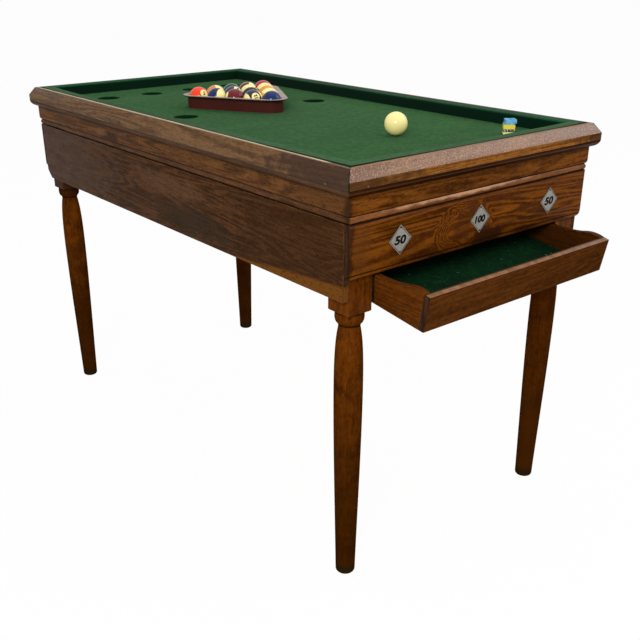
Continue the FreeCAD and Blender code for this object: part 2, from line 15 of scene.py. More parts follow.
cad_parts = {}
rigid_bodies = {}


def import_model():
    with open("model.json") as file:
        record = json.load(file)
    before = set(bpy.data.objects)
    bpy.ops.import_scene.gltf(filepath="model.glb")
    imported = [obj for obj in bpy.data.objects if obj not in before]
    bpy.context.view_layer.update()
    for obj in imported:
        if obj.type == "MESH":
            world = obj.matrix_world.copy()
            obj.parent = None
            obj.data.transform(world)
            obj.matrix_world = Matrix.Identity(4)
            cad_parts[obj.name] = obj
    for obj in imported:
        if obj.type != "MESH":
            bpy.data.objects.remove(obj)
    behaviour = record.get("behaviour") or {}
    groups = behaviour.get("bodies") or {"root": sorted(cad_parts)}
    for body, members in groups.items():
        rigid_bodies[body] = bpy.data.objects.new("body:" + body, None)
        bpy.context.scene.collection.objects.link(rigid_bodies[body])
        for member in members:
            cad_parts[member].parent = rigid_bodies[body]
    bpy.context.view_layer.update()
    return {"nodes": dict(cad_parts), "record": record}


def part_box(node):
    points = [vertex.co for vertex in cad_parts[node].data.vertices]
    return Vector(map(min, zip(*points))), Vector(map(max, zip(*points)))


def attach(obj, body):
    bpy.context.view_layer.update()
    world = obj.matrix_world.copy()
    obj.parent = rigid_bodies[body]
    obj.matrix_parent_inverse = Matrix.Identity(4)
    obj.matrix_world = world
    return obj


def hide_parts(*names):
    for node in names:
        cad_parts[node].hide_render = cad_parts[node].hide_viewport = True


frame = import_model()
nodes = frame["nodes"]
MM = 0.001
print("construction pieces:", len(nodes))

# %% [markdown]
# Operators act on whatever is selected, so each step starts by selecting one piece and nothing else.
# Faces and edges are then picked in code by where they are, as a hand would pick them by eye.

# %% Selecting, editing and picking
def deselect():
    """Leave edit mode and select nothing."""
    if bpy.context.object and bpy.context.object.mode != "OBJECT":
        bpy.ops.object.mode_set(mode="OBJECT")
    bpy.ops.object.select_all(action="DESELECT")


def only(piece):
    """Select one piece and make it the active one."""
    deselect()
    piece.select_set(True)
    bpy.context.view_layer.objects.active = piece
    return piece


def added(name):
    """Name the primitive that was just added, and its mesh."""
    piece = bpy.context.object
    piece.name = name
    piece.data.name = name
    return piece


def edit(piece, everything=True):
    """Enter edit mode on one piece, with everything selected or nothing."""
    only(piece)
    bpy.ops.object.mode_set(mode="EDIT")
    bpy.ops.mesh.select_all(action="SELECT" if everything else "DESELECT")


def done():
    """Go back to object mode."""
    bpy.ops.object.mode_set(mode="OBJECT")


def pick(piece, kind, test):
    """In edit mode, select only the faces, edges or vertices that pass the test."""
    bpy.ops.mesh.select_mode(type=kind)
    bpy.ops.mesh.select_all(action="DESELECT")
    mesh = bmesh.from_edit_mesh(piece.data)
    group = {"FACE": mesh.faces, "EDGE": mesh.edges, "VERT": mesh.verts}[kind]
    for item in group:
        item.select = bool(test(item))
    mesh.select_flush_mode()
    bmesh.update_edit_mesh(piece.data)


print("tools: deselect, only, added, edit, done, pick")

# %% [markdown]
# A piece that was moved or scaled keeps that in its object, and a modifier leaves the mesh as it was.
# Here both are applied at once, so that each mesh shows its real place and its real shape. Shading
# comes last: it rounds off what the eye sees between two faces, and moves nothing.

# %% Settling, modifying and smoothing
def settle(piece):
    """Put the piece's place into its mesh, so that its object sits at the origin."""
    only(piece)
    bpy.ops.object.transform_apply(location=True, rotation=True, scale=True)
    return piece


def modify(piece, kind, **settings):
    """Add a modifier, set it and apply it."""
    only(piece)
    modifier = piece.modifiers.new(kind.title(), kind)
    for key, value in settings.items():
        setattr(modifier, key, value)
    bpy.ops.object.modifier_apply(modifier=modifier.name)
    return piece


def smooth(piece, degrees):
    """Shade smooth across every edge that turns by less than the angle."""
    only(piece)
    bpy.ops.object.shade_smooth_by_angle(angle=math.radians(degrees))
    return piece


def sane(piece):
    """Merge doubles and turn every face outwards."""
    edit(piece)
    bpy.ops.mesh.remove_doubles(threshold=0.00001)
    bpy.ops.mesh.normals_make_consistent(inside=False)
    done()
    return piece


print("tools: settle, modify, smooth, sane")

# %% [markdown]
# Every place is read from the construction, so that nothing is measured twice. The rail, the bead and
# the boards give the heights of the joints, where dirt settles, and the bed's middle gives the mitres.

# %% Places that many steps share
def mid(node):
    """The middle of a construction piece's box."""
    low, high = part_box(node)
    return (low + high) / 2


MIDDLE_Y = mid("bed_board").y
BODY_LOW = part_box("side_board_left")[0]
BODY_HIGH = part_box("side_board_right")[1]
FRONT_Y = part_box("apron_front")[0].y
LEFT_X = BODY_LOW.x
LONGER_BY = (MIDDLE_Y - FRONT_Y) - BODY_HIGH.x
RAIL_LOW, RAIL_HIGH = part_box("rail_front")
MOULDING_HIGH = 14 * MM
FASCIA_LOW = RAIL_LOW.z + MOULDING_HIGH
BEAD_LOW, BEAD_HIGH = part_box("bead_front")
APRON_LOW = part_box("apron_front")[0].z
LEG_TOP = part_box("leg_front_left")[1].z
HEM_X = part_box("cushion_right")[1].x
print("body: left %.3f, front %.3f" % (LEFT_X, FRONT_Y))

# %% [markdown]
# The camera stands to the left of the player's end and looks down on the cloth. A camera looks along
# its own -Z axis, so a turn in three steps, written as one matrix, sets its direction. A small shift
# moves the frame without tilting the upright legs.

# %% Camera
CAMERA_PLACE = (-1.23024, -1.59649, 1.14437)
CAMERA_TURN = Matrix((
    (0.780529, 0.257464, -0.569637),
    (-0.625108, 0.316014, -0.713705),
    (-0.003740, 0.913152, 0.407601)))
FOCAL_LENGTH = 48.0723
FRAME_SHIFT = (0.019797, 0.033939)
FAR_CLIP = 120

camera_data = bpy.data.cameras.new("camera")
camera = bpy.data.objects.new("camera", camera_data)
bpy.context.scene.collection.objects.link(camera)
camera.matrix_world = Matrix.Translation(CAMERA_PLACE) @ CAMERA_TURN.to_4x4()
camera_data.lens = FOCAL_LENGTH
camera_data.shift_x, camera_data.shift_y = FRAME_SHIFT
camera_data.clip_end = FAR_CLIP
bpy.context.scene.camera = camera
print("camera height %.2f m" % camera.location.z)

# %% [markdown]
# A finish is a small network of nodes. Colours are written here as they look on a screen, 0 to 255,
# and turned into the linear values that a shader works with. The helpers below keep each finish short:
# they add a node, set its inputs, and hand on its output.

# %% Colours and nodes
def tint(red, green, blue):
    """A screen colour as linear values."""
    linear = []
    for level in (red, green, blue):
        share = level / 255
        linear.append(share / 12.92 if level <= 10 else ((share + 0.055) / 1.055) ** 2.4)
    return (*linear, 1.0)


class Network:
    """A tree of shader nodes, with short ways to add to it."""

    def __init__(self, tree):
        self.tree = tree

    def add(self, kind, inputs=None, **settings):
        made = self.tree.nodes.new(kind)
        for key, value in settings.items():
            setattr(made, key, value)
        for key, value in (inputs or {}).items():
            self.put(made.inputs[key], value)
        return made

    def put(self, socket, value):
        """Link another node's output to a socket, or set a plain value on it."""
        if isinstance(value, bpy.types.NodeSocket):
            self.tree.links.new(value, socket)
        else:
            socket.default_value = value

    def maths(self, how, a, b=0.0):
        return self.add("ShaderNodeMath", {0: a, 1: b}, operation=how).outputs[0]

    def ramp(self, value, low, high, out_low=0.0, out_high=1.0):
        """Smooth step from out_low to out_high while the value goes from low to high."""
        made = self.add("ShaderNodeMapRange", {
            "Value": value, "From Min": low, "From Max": high, "To Min": out_low, "To Max": out_high},
            interpolation_type="SMOOTHSTEP")
        return made.outputs[0]

    def seen(self):
        """1 for what is seen straight, in a gloss or through glass, 0 where light only falls."""
        rays = self.add("ShaderNodeLightPath").outputs
        straight = self.maths("MAXIMUM", rays["Is Camera Ray"], rays["Is Glossy Ray"])
        return self.maths("MAXIMUM", straight, rays["Is Transmission Ray"])


print("a middle grey is %.3f in linear light" % tint(128, 128, 128)[0])

# %% [markdown]
# A finish is a material: its Principled shader, and the point that is being shaded, on which every
# pattern is built. Noise is stretched by scaling that point first, and a bump node makes a relief of it.

# %% A finish and its textures
class Finish(Network):
    """One material with its Principled shader, which reads the piece's own coordinates."""

    def __init__(self, name):
        self.material = bpy.data.materials.new(name)
        self.material.use_nodes = True
        super().__init__(self.material.node_tree)
        self.shader = self.tree.nodes["Principled BSDF"]
        self.place = self.add("ShaderNodeTexCoord").outputs["Object"]

    def set(self, **values):
        """Set inputs of the shader by name, with _ for a space."""
        for key, value in values.items():
            self.put(self.shader.inputs[key.replace("_", " ")], value)

    def mapped(self, scale, shift=(0, 0, 0)):
        return self.add("ShaderNodeMapping", {
            "Vector": self.place, "Scale": scale, "Location": shift}).outputs[0]

    def noise(self, vector, scale=1.0, detail=3.0, rough=0.55, twist=0.0):
        return self.add("ShaderNodeTexNoise", {
            "Vector": vector, "Scale": scale, "Detail": detail, "Roughness": rough,
            "Distortion": twist}).outputs["Fac"]

    def mix(self, amount, a, b):
        return self.add("ShaderNodeMix", {0: amount, 6: a, 7: b}, data_type="RGBA").outputs[2]

    def paint(self, colour, where, shade, amount=1.0):
        """Lay a screen colour over another, by a pattern and an amount."""
        return self.mix(self.maths("MULTIPLY", where, amount), colour, tint(*shade))

    def axes(self):
        """The three coordinates of the shaded point."""
        return self.add("ShaderNodeSeparateXYZ", {0: self.place}).outputs

    def bump(self, height, strength, distance):
        return self.add("ShaderNodeBump", {
            "Height": height, "Strength": strength, "Distance": distance}).outputs[0]


def wear(piece, *finishes):
    """Give a piece its finishes, in order of its material slots."""
    piece.data.materials.clear()
    for finish in finishes:
        piece.data.materials.append(finish.material)
    return piece


print("textures: noise on the piece's own coordinates")

# %% [markdown]
# Stains, dirty joints, worn corners, and painted light and shade belong to a place on the table, not to the
# texture of the wood.
# Each helper below turns the distance from such a place into a number from 0 to 1. A painted mask
# would do the same, but it would need an image, and it would not follow a change of size.

# %% Patterns tied to a place
def patch_at(f, centre, size, ragged=0.35, seed=0.0):
    """Soft ragged patch: 1 in the middle of an ellipsoid, 0 outside it."""
    near = f.add("ShaderNodeVectorMath", {0: f.place, 1: centre}, operation="SUBTRACT").outputs[0]
    near = f.add("ShaderNodeVectorMath", {0: near, 1: size}, operation="DIVIDE").outputs[0]
    reach = f.add("ShaderNodeVectorMath", {0: near}, operation="LENGTH").outputs["Value"]
    wobble = f.noise(f.mapped((30, 30, 30), (seed, seed, seed)), detail=4)
    wobble = f.maths("MULTIPLY", f.maths("SUBTRACT", wobble, 0.5), ragged * 4)
    return f.ramp(f.maths("ADD", reach, wobble), 1.0, 0.45)


def line_at(f, place, half, axis):
    """1 along a straight line at a place on one axis, 0 further from it than half its width."""
    away = f.maths("ABSOLUTE", f.maths("SUBTRACT", f.axes()[axis], place))
    return f.ramp(away, half, half * 0.4)


def under_slope(f, tip, slope):
    """1 under a line that climbs towards the player's end from a tip (y, z), 0 over it."""
    y, z = f.axes()[1:]
    wobble = f.maths("MULTIPLY", f.noise(f.mapped((60, 9, 60)), detail=2), 0.006)
    line = f.maths("ADD", f.maths("MULTIPLY", f.maths("SUBTRACT", tip[0], y), slope), tip[1])
    return f.ramp(f.maths("SUBTRACT", f.maths("ADD", z, wobble), line), 0.007, 0.0)


def from_middle(f):
    """How far the shaded point is from the bed's middle, across and along the table."""
    x, y = f.axes()[:2]
    return f.maths("ABSOLUTE", x), f.maths("ABSOLUTE", f.maths("SUBTRACT", y, MIDDLE_Y))


def hem_at(f, width):
    """1 within a width of the cushions' outer edge, where the cloth is tucked in, 0 inside it."""
    across, along = from_middle(f)
    across = f.maths("SUBTRACT", HEM_X, across)
    along = f.maths("SUBTRACT", HEM_X + LONGER_BY, along)
    return f.ramp(f.maths("MINIMUM", across, along), width, width * 0.5)


def mitre_at(f):
    """1 along the four mitres of the table's frames, 0 elsewhere."""
    across, along = from_middle(f)
    off = f.maths("SUBTRACT", f.maths("SUBTRACT", along, across), LONGER_BY)
    return f.ramp(f.maths("ABSOLUTE", off), 0.0024, 0.0010)


print("half the length is %.0f mm more than half the width" % (LONGER_BY / MM))

# %% [markdown]
# Old stained oak shows four things at once: growth rings that run in long loops along the board,
# fine fibres, short dark pores, and stain and polish that have gone patchy with use. Image textures
# could give this, but a network of stretched noise works on every side of a board and at any size.
# The rings are contour lines of a slow noise, which makes the arches of a flat-sawn board by itself.

# %% Wood textures
def along_grain(grain, share):
    """Scale that draws a texture out along the grain, to 1 / share of its size."""
    return tuple(share if axis == grain else 1 for axis in "xyz")


# Share of its size along the grain, shift for each unit of the seed, then the noise's own settings:
# scale, detail, roughness and twist.
WOOD_TEXTURES = {
    "ring": (0.075, (1, 1.7, 0.6), 16.0, 2.5, 0.5, 0.6),
    "streak": (0.13, (1, 1, 2), 230.0, 3.0, 0.6, 0.3),
    "fibre": (0.03, (1, 0, 1), 520.0, 2.0, 0.6, 0.0),
    "fleck": (0.45, (1, 1, 3), 190.0, 3.0, 0.7, 0.5),
    "pore": (0.2, (1, 1, 0), 560.0, 1.0, 0.5, 0.0),
    "cloud": (0.4, (1, 3, 1), 49.0, 4.0, 0.6, 0.0)}


def wood_noise(f, kind, grain, seed, scale=None):
    """One of the textures above, drawn out along the grain and moved aside by the seed."""
    share, shift, usual_scale, detail, rough, twist = WOOD_TEXTURES[kind]
    drawn_out = f.mapped(along_grain(grain, share), [seed * part for part in shift])
    return f.noise(drawn_out, scale or usual_scale, detail, rough, twist)


print("wood textures:", ", ".join(WOOD_TEXTURES))

# %% [markdown]
# The textures are laid over one another much as a board gets them: first its own light and dark, then stains
# and marks, some of them painted shade or painted highlight, then pores, then specks, whose light part is a
# painted reflection, then dark lines along its joints and mitres, some of them painted shade, and last the
# varnish. One picture of old wood would look right at once, but here each layer can be weaker or stronger on
# one board alone.

# %% Oak
WARM_GLINT = (1.0, 0.5, 0.15, 1.0)
RING_TURNS = 95.0
PORE = (26, 13, 5)
MITRE_DIRT = (14, 8, 5)


def oak(name, grain, light, dark, seed=0.0, rings=0.35, stain=0.4, streaks=0.9, pores=0.5, gloss=0.0,
        flecks=0.9, shine=0.02, rough=0.42, stain_scale=7.0, ring_scale=None, peel=0.0, specks=None,
        mitred=False, knots=(), marks=(), bands=(), wedge=None):
    """Stained oak with its grain along one axis, between a light and a dark stain.

    The numbers after the stains are a seed, and how strongly rings, patches, streaks and pores show."""
    f = Finish(name)
    slow = wood_noise(f, "ring", grain, seed, ring_scale)
    for centre, size, lift in knots:
        slow = f.maths("ADD", slow, f.maths("MULTIPLY", patch_at(f, centre, size, 0.12), lift))
    ring = f.ramp(f.maths("SINE", f.maths("MULTIPLY", slow, RING_TURNS)), -0.8, 1.0)
    streak, fibre, fleck = (wood_noise(f, kind, grain, seed) for kind in ("streak", "fibre", "fleck"))
    pore = f.ramp(wood_noise(f, "pore", grain, seed), 0.61, 0.70)
    patch = f.noise(f.mapped((1, 1, 1.4), (seed * 2, seed, seed)), stain_scale, 5.0, 0.6, 0.4)
    cloud = wood_noise(f, "cloud", grain, seed, stain_scale * 7)
    level = f.maths("MULTIPLY", f.maths("SUBTRACT", ring, 0.5), rings)
    for texture, share in ((streak, streaks), (patch, 2.4 * stain), (cloud, 1.3 * stain),
                           (fibre, 0.5 * streaks), (fleck, flecks)):
        level = f.maths("ADD", level, f.maths("MULTIPLY", f.maths("SUBTRACT", texture, 0.5), share))
    colour = f.mix(f.ramp(f.maths("ADD", level, 0.5), 0.0, 1.0), tint(*dark), tint(*light))
    for centre, size, shade, amount in marks:
        colour = f.paint(colour, patch_at(f, centre, size, seed=seed), shade, amount)
    if wedge:
        tip, slope, shade, amount = wedge
        colour = f.paint(colour, under_slope(f, tip, slope), shade, amount)
    colour = f.paint(colour, pore, PORE, pores)
    # Specks: the dark ones are fleck in the wood, the light ones a painted reflection, the stippled glare of
    # an orange-peel varnish.
    if specks:
        grit = f.noise(f.place, 430.0, 3.0, 0.7)
        colour = f.paint(colour, f.ramp(grit, 0.34, 0.48, 0.6, 0.0), specks[0])
        colour = f.paint(colour, f.ramp(grit, 0.50, 0.68, 0.0, 0.7), specks[1])
    for place, half, shade, amount, axis in bands:
        colour = f.paint(colour, line_at(f, place, half, axis), shade, amount)
    if mitred:
        colour = f.paint(colour, mitre_at(f), MITRE_DIRT, 0.9)
    f.set(Base_Color=colour, Roughness=f.ramp(cloud, 0.3, 0.7, rough - 0.07, rough + 0.1))
    relief = f.maths("SUBTRACT", f.maths("MULTIPLY", streak, 0.5), pore)
    f.set(Normal=f.bump(relief, 0.35, 0.0004))
    f.set(Coat_Weight=gloss, Coat_Roughness=0.2, Specular_IOR_Level=shine, Specular_Tint=WARM_GLINT)
    if peel:
        skin = f.noise(f.place, 330.0, 2.0, 0.6)
        f.set(Coat_Normal=f.bump(skin, peel, 0.0012))
    return f


print("oak: %d rings in each unit of slow noise" % (RING_TURNS / math.tau))

# %% [markdown]
# The boards of the long side are greyer and darker than those of the player's end, which is warmer, with a
# bolder figure. The same recipe makes both: only the two colours, the grain direction and a few soft marks
# change. The top rail comes first, with its bevel, its upright fascia, its moulding, painted dark for the
# shade under the rail, and the flat top, which sleeves have rubbed bare and which also carries a painted
# highlight.

# %% Finishes of the top rail
BLACKENED = (20, 10, 5)


def joint(height, half=1.6, shade=BLACKENED, amount=0.85):
    """A darker line along one height, to half a width in millimetres each way: dirt where boards meet, and
    painted shade where it lies in a gap or under a part.
    """
    return (height, half * MM, shade, amount, 2)


def on_front(x, z, wide, high, shade, amount, deep=0.02):
    """A stain on the player's end: its middle and half sizes, then its colour and strength."""
    return ((x, FRONT_Y, z), (wide, deep, high), shade, amount)


def on_left(y, z, long, high, shade, amount, deep=0.02, x=LEFT_X):
    """A stain on the long left side, in the same way."""
    return ((x, y, z), (deep, long, high), shade, amount)


RAIL_X = -0.335  # The left rail's bevel stands further out than the boards below it.
RAIL_TOP_X = -0.318
# Painted shade down the rounded near-left corner, which turns away from the light.
NEAR_CORNER_SHADE = ((LEFT_X, FRONT_Y, 0.70), (0.016, 0.016, 0.20), (38, 22, 13), 0.8)
# Painted shade: dark lines at the foot of the fascia and at the foot of the rail, where shade falls under it.
UNDER_RAIL_SHADE_LINES = (joint(FASCIA_LOW, 1.2), joint(RAIL_LOW.z, 1.2))

# The front bevel's light specks are a painted reflection of the bright room in its stippled varnish.
bevel_front = oak("rail_front_polish", "x", (130, 88, 51), (87, 51, 26), 1.3, 0.2, 0.3, 0.5, 0.2,
                  gloss=0.6, peel=0.7, rough=0.38, ring_scale=20, mitred=True,
                  specks=((84, 52, 34), (180, 140, 110)), marks=(
                      on_front(-0.30, 0.83, 0.10, 0.05, (92, 60, 42), 0.7, 0.04),
                      on_front(0.31, 0.83, 0.14, 0.05, (104, 74, 58), 0.65, 0.04)))
fascia_front = oak("rail_front_fascia", "x", (149, 94, 40), (92, 53, 18), 1.9, 0.3, 0.25, 0.9, 0.5,
                   mitred=True, marks=(
                       on_front(0.33, 0.81, 0.10, 0.03, (58, 36, 14), 0.85, 0.05),
                       on_front(LEFT_X, 0.80, 0.22, 0.05, (64, 40, 22), 0.85, 0.06), NEAR_CORNER_SHADE))
# The front moulding under the rail is painted dark for the shade there, with a lighter line across its
# middle, where it is less shaded.
moulding_shade = oak("rail_moulding_shade", "x", (58, 29, 12), (30, 14, 6), 2.9, 0.2, 0.4, 0.6, 0.3, bands=(
    joint(RAIL_LOW.z + 8 * MM, 1.6, (96, 54, 28), 0.6), joint(FASCIA_LOW, 2.0), joint(RAIL_LOW.z, 2.0)))
rail_back = oak("rail_back_polish", "x", (110, 80, 50), (70, 48, 29), 2.3, 0.4, 0.3, 1.2, 0.7,
                gloss=0.1, mitred=True)
rail_sides = oak("rail_side_polish", "y", (109, 79, 50), (69, 47, 29), 2.1, 0.4, 0.3, 1.2, 0.7,
                 gloss=0.1, peel=0.2, mitred=True, marks=(
                     on_left(-0.52, 0.82, 0.20, 0.05, (52, 37, 28), 0.85, 0.03, RAIL_X),
                     on_left(0.187, 0.815, 0.012, 0.012, (46, 32, 24), 0.6, 0.02, RAIL_X)))
# The side and back mouldings are painted darker than their rails, for the same shade under the rail.
moulding_sides = oak("rail_moulding_side", "y", (84, 57, 36), (50, 33, 20), 2.5, 0.2, 0.3, 0.8, 0.4,
                     bands=UNDER_RAIL_SHADE_LINES)
moulding_back = oak("rail_moulding_back", "x", (84, 57, 36), (50, 33, 20), 2.6, 0.2, 0.3, 0.8, 0.4,
                    bands=UNDER_RAIL_SHADE_LINES)
# The flat tops of the front and left rails are pale partly from wear and partly as a painted highlight along
# the rounded inner edge; on the left the cream fades before the near corner.
top_front = oak("rail_front_top", "x", (156, 120, 92), (112, 78, 56), 1.7, 0.1, 0.4, 0.6, 0.2, mitred=True)
rubbed_lit_top = oak("rail_top_rubbed_lit_wood", "y", (214, 198, 166), (170, 150, 118), 2.7, 0.1, 0.4, 0.6, 0.2,
                mitred=True, marks=(on_left(-0.555, 0.84, 0.05, 0.02, (70, 50, 38), 0.9, 0.03, RAIL_TOP_X),),
                bands=((-HEM_X - 8 * MM, 5 * MM, (104, 78, 52), 0.9, 0),))
dull_top = oak("rail_top_grey_wood", "y", (108, 104, 84), (78, 76, 58), 2.9, 0.1, 0.4, 0.6, 0.2,
               mitred=True)
print("materials so far:", len(bpy.data.materials))

# %% [markdown]
# Below the rail come the frieze, the bead and the boards. Their joints are dark with old polish, but the line
# under the rail is painted shade, as is the dark near-left corner, and the light band on the front bead's
# crown is a painted highlight. A damp patch, a knot and a crack on the left side are only marks in the
# finish: they are too shallow to be modelled, and a mark can be moved or left out without touching a mesh.

# %% Finishes of friezes, beads and boards
# The line at the rail's foot is painted shade under the rail; the line at the bead is a dark joint.
FRIEZE_JOINTS = (joint(RAIL_LOW.z, 2.0), joint(BEAD_HIGH.z, 1.2))
BEAD_JOINTS = (joint(BEAD_HIGH.z, 1.2), joint(BEAD_LOW.z, 1.8))

frieze_front = oak("frieze_front_polish", "x", (118, 67, 20), (54, 25, 2), 3.7, 0.3, 0.35, 0.9, 0.6,
                   marks=(NEAR_CORNER_SHADE,), bands=(joint(RAIL_LOW.z, 3.0), joint(BEAD_HIGH.z, 1.6)))
frieze_sides = oak("frieze_side_polish", "y", (100, 64, 34), (59, 36, 18), 4.3, 0.35, 0.25, 1.2, 0.7,
                   bands=FRIEZE_JOINTS, marks=(
                       on_left(0.271, 0.768, 0.060, 0.018, (44, 28, 18), 0.85),
                       on_left(0.32, 0.774, 0.045, 0.010, (116, 82, 52), 0.45),
                       on_left(-0.5, 0.775, 0.12, 0.03, (84, 52, 26), 0.6), NEAR_CORNER_SHADE))
frieze_back = oak("frieze_back_polish", "x", (101, 63, 33), (60, 36, 17), 4.7, 0.35, 0.25, 1.2, 0.7,
                  bands=FRIEZE_JOINTS)
# The light band along the front bead's crown is a painted highlight.
bead_front = oak("bead_front_polish", "x", (130, 80, 42), (84, 46, 20), 5.1, 0.2, 0.3, 0.8, 0.4,
                 gloss=0.12, peel=0.3, mitred=True,
                 marks=(on_front(-0.04, BEAD_HIGH.z, 0.24, 0.009, (190, 142, 110), 0.75),),
                 bands=(joint(BEAD_HIGH.z, 1.6), joint(BEAD_LOW.z, 2.0)))
bead_sides = oak("bead_side_polish", "y", (92, 59, 33), (52, 30, 16), 5.9, 0.2, 0.5, 0.9, 0.6, gloss=0.05,
                 marks=(on_left(0.573, 0.746, 0.050, 0.006, BLACKENED, 0.9), NEAR_CORNER_SHADE),
                 bands=BEAD_JOINTS)
bead_back = oak("bead_back_polish", "x", (92, 59, 33), (52, 30, 16), 6.1, 0.2, 0.5, 0.9, 0.6,
                bands=BEAD_JOINTS)
apron_oak = oak("apron_polish", "x", (113, 62, 12), (62, 27, 5), 7.7, 0.55, 0.3, 0.45, 0.45,
                flecks=1.2, ring_scale=14,
                knots=(((-0.043, FRONT_Y, 0.69), (0.085, 0.03, 0.055), 0.4),),
                marks=(on_front(-0.043, 0.69, 0.03, 0.03, (70, 34, 12), 0.6),
                       on_front(0.02, 0.65, 0.06, 0.035, (50, 24, 10), 0.9),
                       on_front(-0.02, 0.725, 0.03, 0.02, (66, 34, 14), 0.6),
                       on_front(-0.30, 0.70, 0.035, 0.06, (86, 48, 18), 0.6),
                       on_front(0.25, 0.74, 0.06, 0.02, (96, 50, 18), 0.5), NEAR_CORNER_SHADE),
                # The last line, in the quirk above the apron's foot, is painted shade where the rounding
                # turns down.
                bands=(joint(BEAD_LOW.z - 4 * MM, 2.5, (104, 64, 44), 0.35), joint(BEAD_LOW.z, 2.0),
                       joint(APRON_LOW + 7.5 * MM, 1.6)))
end_grain = oak("apron_end_grain", "z", (62, 38, 24), (30, 18, 11), 8.1, 0.3, 0.4, 0.8, 0.6)
board_left = oak("side_board_stain", "y", (78, 50, 29), (42, 25, 12), 8.5, 0.4, 0.3, 1.2, 0.7, rough=0.5,
                 stain_scale=6.0, marks=(
                     on_left(0.66, 0.66, 0.46, 0.20, (74, 55, 43), 0.55),
                     on_left(-0.50, 0.68, 0.34, 0.14, (50, 29, 13), 0.5),
                     on_left(0.02, 0.703, 0.18, 0.03, (98, 70, 50), 0.35),
                     on_left(-0.08, 0.640, 0.17, 0.045, (44, 34, 25), 0.7), NEAR_CORNER_SHADE),
                 bands=(joint(BEAD_LOW.z, 1.8),), wedge=((-0.15, 0.5985), 0.083, (104, 62, 18), 0.75))
board_right = oak("far_side_board_stain", "y", (75, 46, 22), (38, 20, 6), 9.1, 0.35, 0.5, 1.0, 0.7)
end_oak = oak("end_board_stain", "x", (78, 49, 23), (40, 20, 8), 9.9, 0.4, 0.5, 1.0, 0.7)
print("materials so far:", len(bpy.data.materials))

# %% [markdown]
# Legs and corner blocks have upright grain and a red-brown polish. The legs are painted darker towards the
# floor, as painted shade from the table above them. The far legs and their blocks stand in the shade of the
# table, which is painted as dark marks at their tops.

# %% Finishes of legs, blocks and drawer
FAR_LEGS = [mid("leg_back_left"), mid("leg_back_right")]
RIGHT_LEG = mid("leg_front_right")


def round_leg(leg_place, height, high, shade, amount, reach=0.06):
    """Painted shade all round a leg or a corner block, or painted light where its colour is lighter."""
    return ((leg_place.x, leg_place.y, height), (reach, reach, high), shade, amount)


# The marks on the far blocks are painted shade from the table.
block_oak = oak("corner_block_polish", "z", (101, 51, 8), (62, 28, 4), 10.3, 0.2, 0.6, 0.45, 0.4,
                flecks=1.3, marks=(
                    *(round_leg(place, 0.58, 0.14, (46, 28, 16), 0.85) for place in FAR_LEGS),
                    ((0.2625, -0.54, 0.625), (0.02, 0.05, 0.05), (150, 92, 26), 0.6)))
leg_oak = oak("turned_leg_polish", "z", (94, 47, 7), (51, 22, 3), 11.1, 0.12, 0.6, 0.3, 0.5,
              flecks=1.1, stain_scale=14, shine=0.0,
              # The first line is so wide that it darkens the legs towards the floor: painted shade. The
              # second darkens the foot.
              bands=(joint(-0.1, 620, (41, 19, 2), 0.75), joint(0, 30, (34, 24, 10), 0.9),
                     joint(LEG_TOP - 24 * MM, 2.2), joint(LEG_TOP, 1.6)),
              # Painted shade at the tops of the far legs and high on the front right leg, and painted light
              # low on that leg.
              marks=(*(round_leg(place, LEG_TOP, 0.035, (36, 18, 7), 0.8) for place in FAR_LEGS),
                     round_leg(RIGHT_LEG, 0.42, 0.18, (52, 22, 2), 0.5),
                     round_leg(RIGHT_LEG, 0.12, 0.14, (92, 45, 6), 0.75)))
drawer_front_oak = oak("drawer_front_polish", "x", (88, 48, 16), (56, 29, 9), 12.7, 0.25, 0.3, 0.7, 0.6,
                       flecks=1.1, shine=0.0)
# The mark on the right side is painted shade inside the drawer.
drawer_side_oak = oak("drawer_side_polish", "y", (92, 48, 9), (56, 25, 3), 13.3, 0.25, 0.25, 0.5, 0.5,
                      marks=((tuple(mid("drawer_side_right")), (0.03, 0.30, 0.08), (42, 20, 4), 0.65),))
softwood = oak("plain_softwood", "y", (196, 158, 112), (150, 112, 72), 14.9, 0.4, 0.3, 0.8, 0.3, rough=0.6)
# The guides, cleats and stops beside the drawer are painted nearly black, for the shade in the gaps round the
# drawer.
gap_shade_wood = oak("drawer_guide_painted_shade", "y", (44, 25, 13), (22, 12, 7), 15.1, 0.3, 0.3, 0.8, 0.4, rough=0.6)
print("materials so far:", len(bpy.data.materials))

# %% [markdown]
# A separate finish is kept for arrises, where the polish has worn through to paler wood. Its colours change
# at a height, because sleeves rub the upper edges of the rail and never reach the lower ones. The pale upper
# colour is also a painted highlight, where the rounded edge catches the light.

# %% Finishes of worn arrises
def worn(name, top, rest, line, dirt=None):
    """Arris finish: one colour above a height, where hands and sleeves rub and a painted highlight lies, and
    another below it.

    Dirt is the Y where it starts and the Y where it is full, towards the inside of a drawer."""
    f = Finish(name)
    rub = f.noise(f.mapped((1, 0.5, 1)), 60.0, 4.0, 0.65)
    height = f.maths("ADD", f.axes()[2], f.maths("MULTIPLY", f.maths("SUBTRACT", rub, 0.5), 0.003))
    high = f.ramp(height, line, line + 0.0008)
    base = f.mix(f.ramp(rub, 0.35, 0.65), tint(*rest[0]), tint(*rest[1]))
    bare = f.mix(f.ramp(rub, 0.3, 0.6), tint(*top[0]), tint(*top[1]))
    if dirt:
        base = f.paint(base, f.ramp(f.axes()[1], *dirt), (58, 36, 24))
    f.set(Base_Color=f.mix(high, base, bare), Roughness=f.ramp(rub, 0.3, 0.7, 0.35, 0.55))
    f.set(Specular_IOR_Level=0.08, Specular_Tint=WARM_GLINT)
    return f


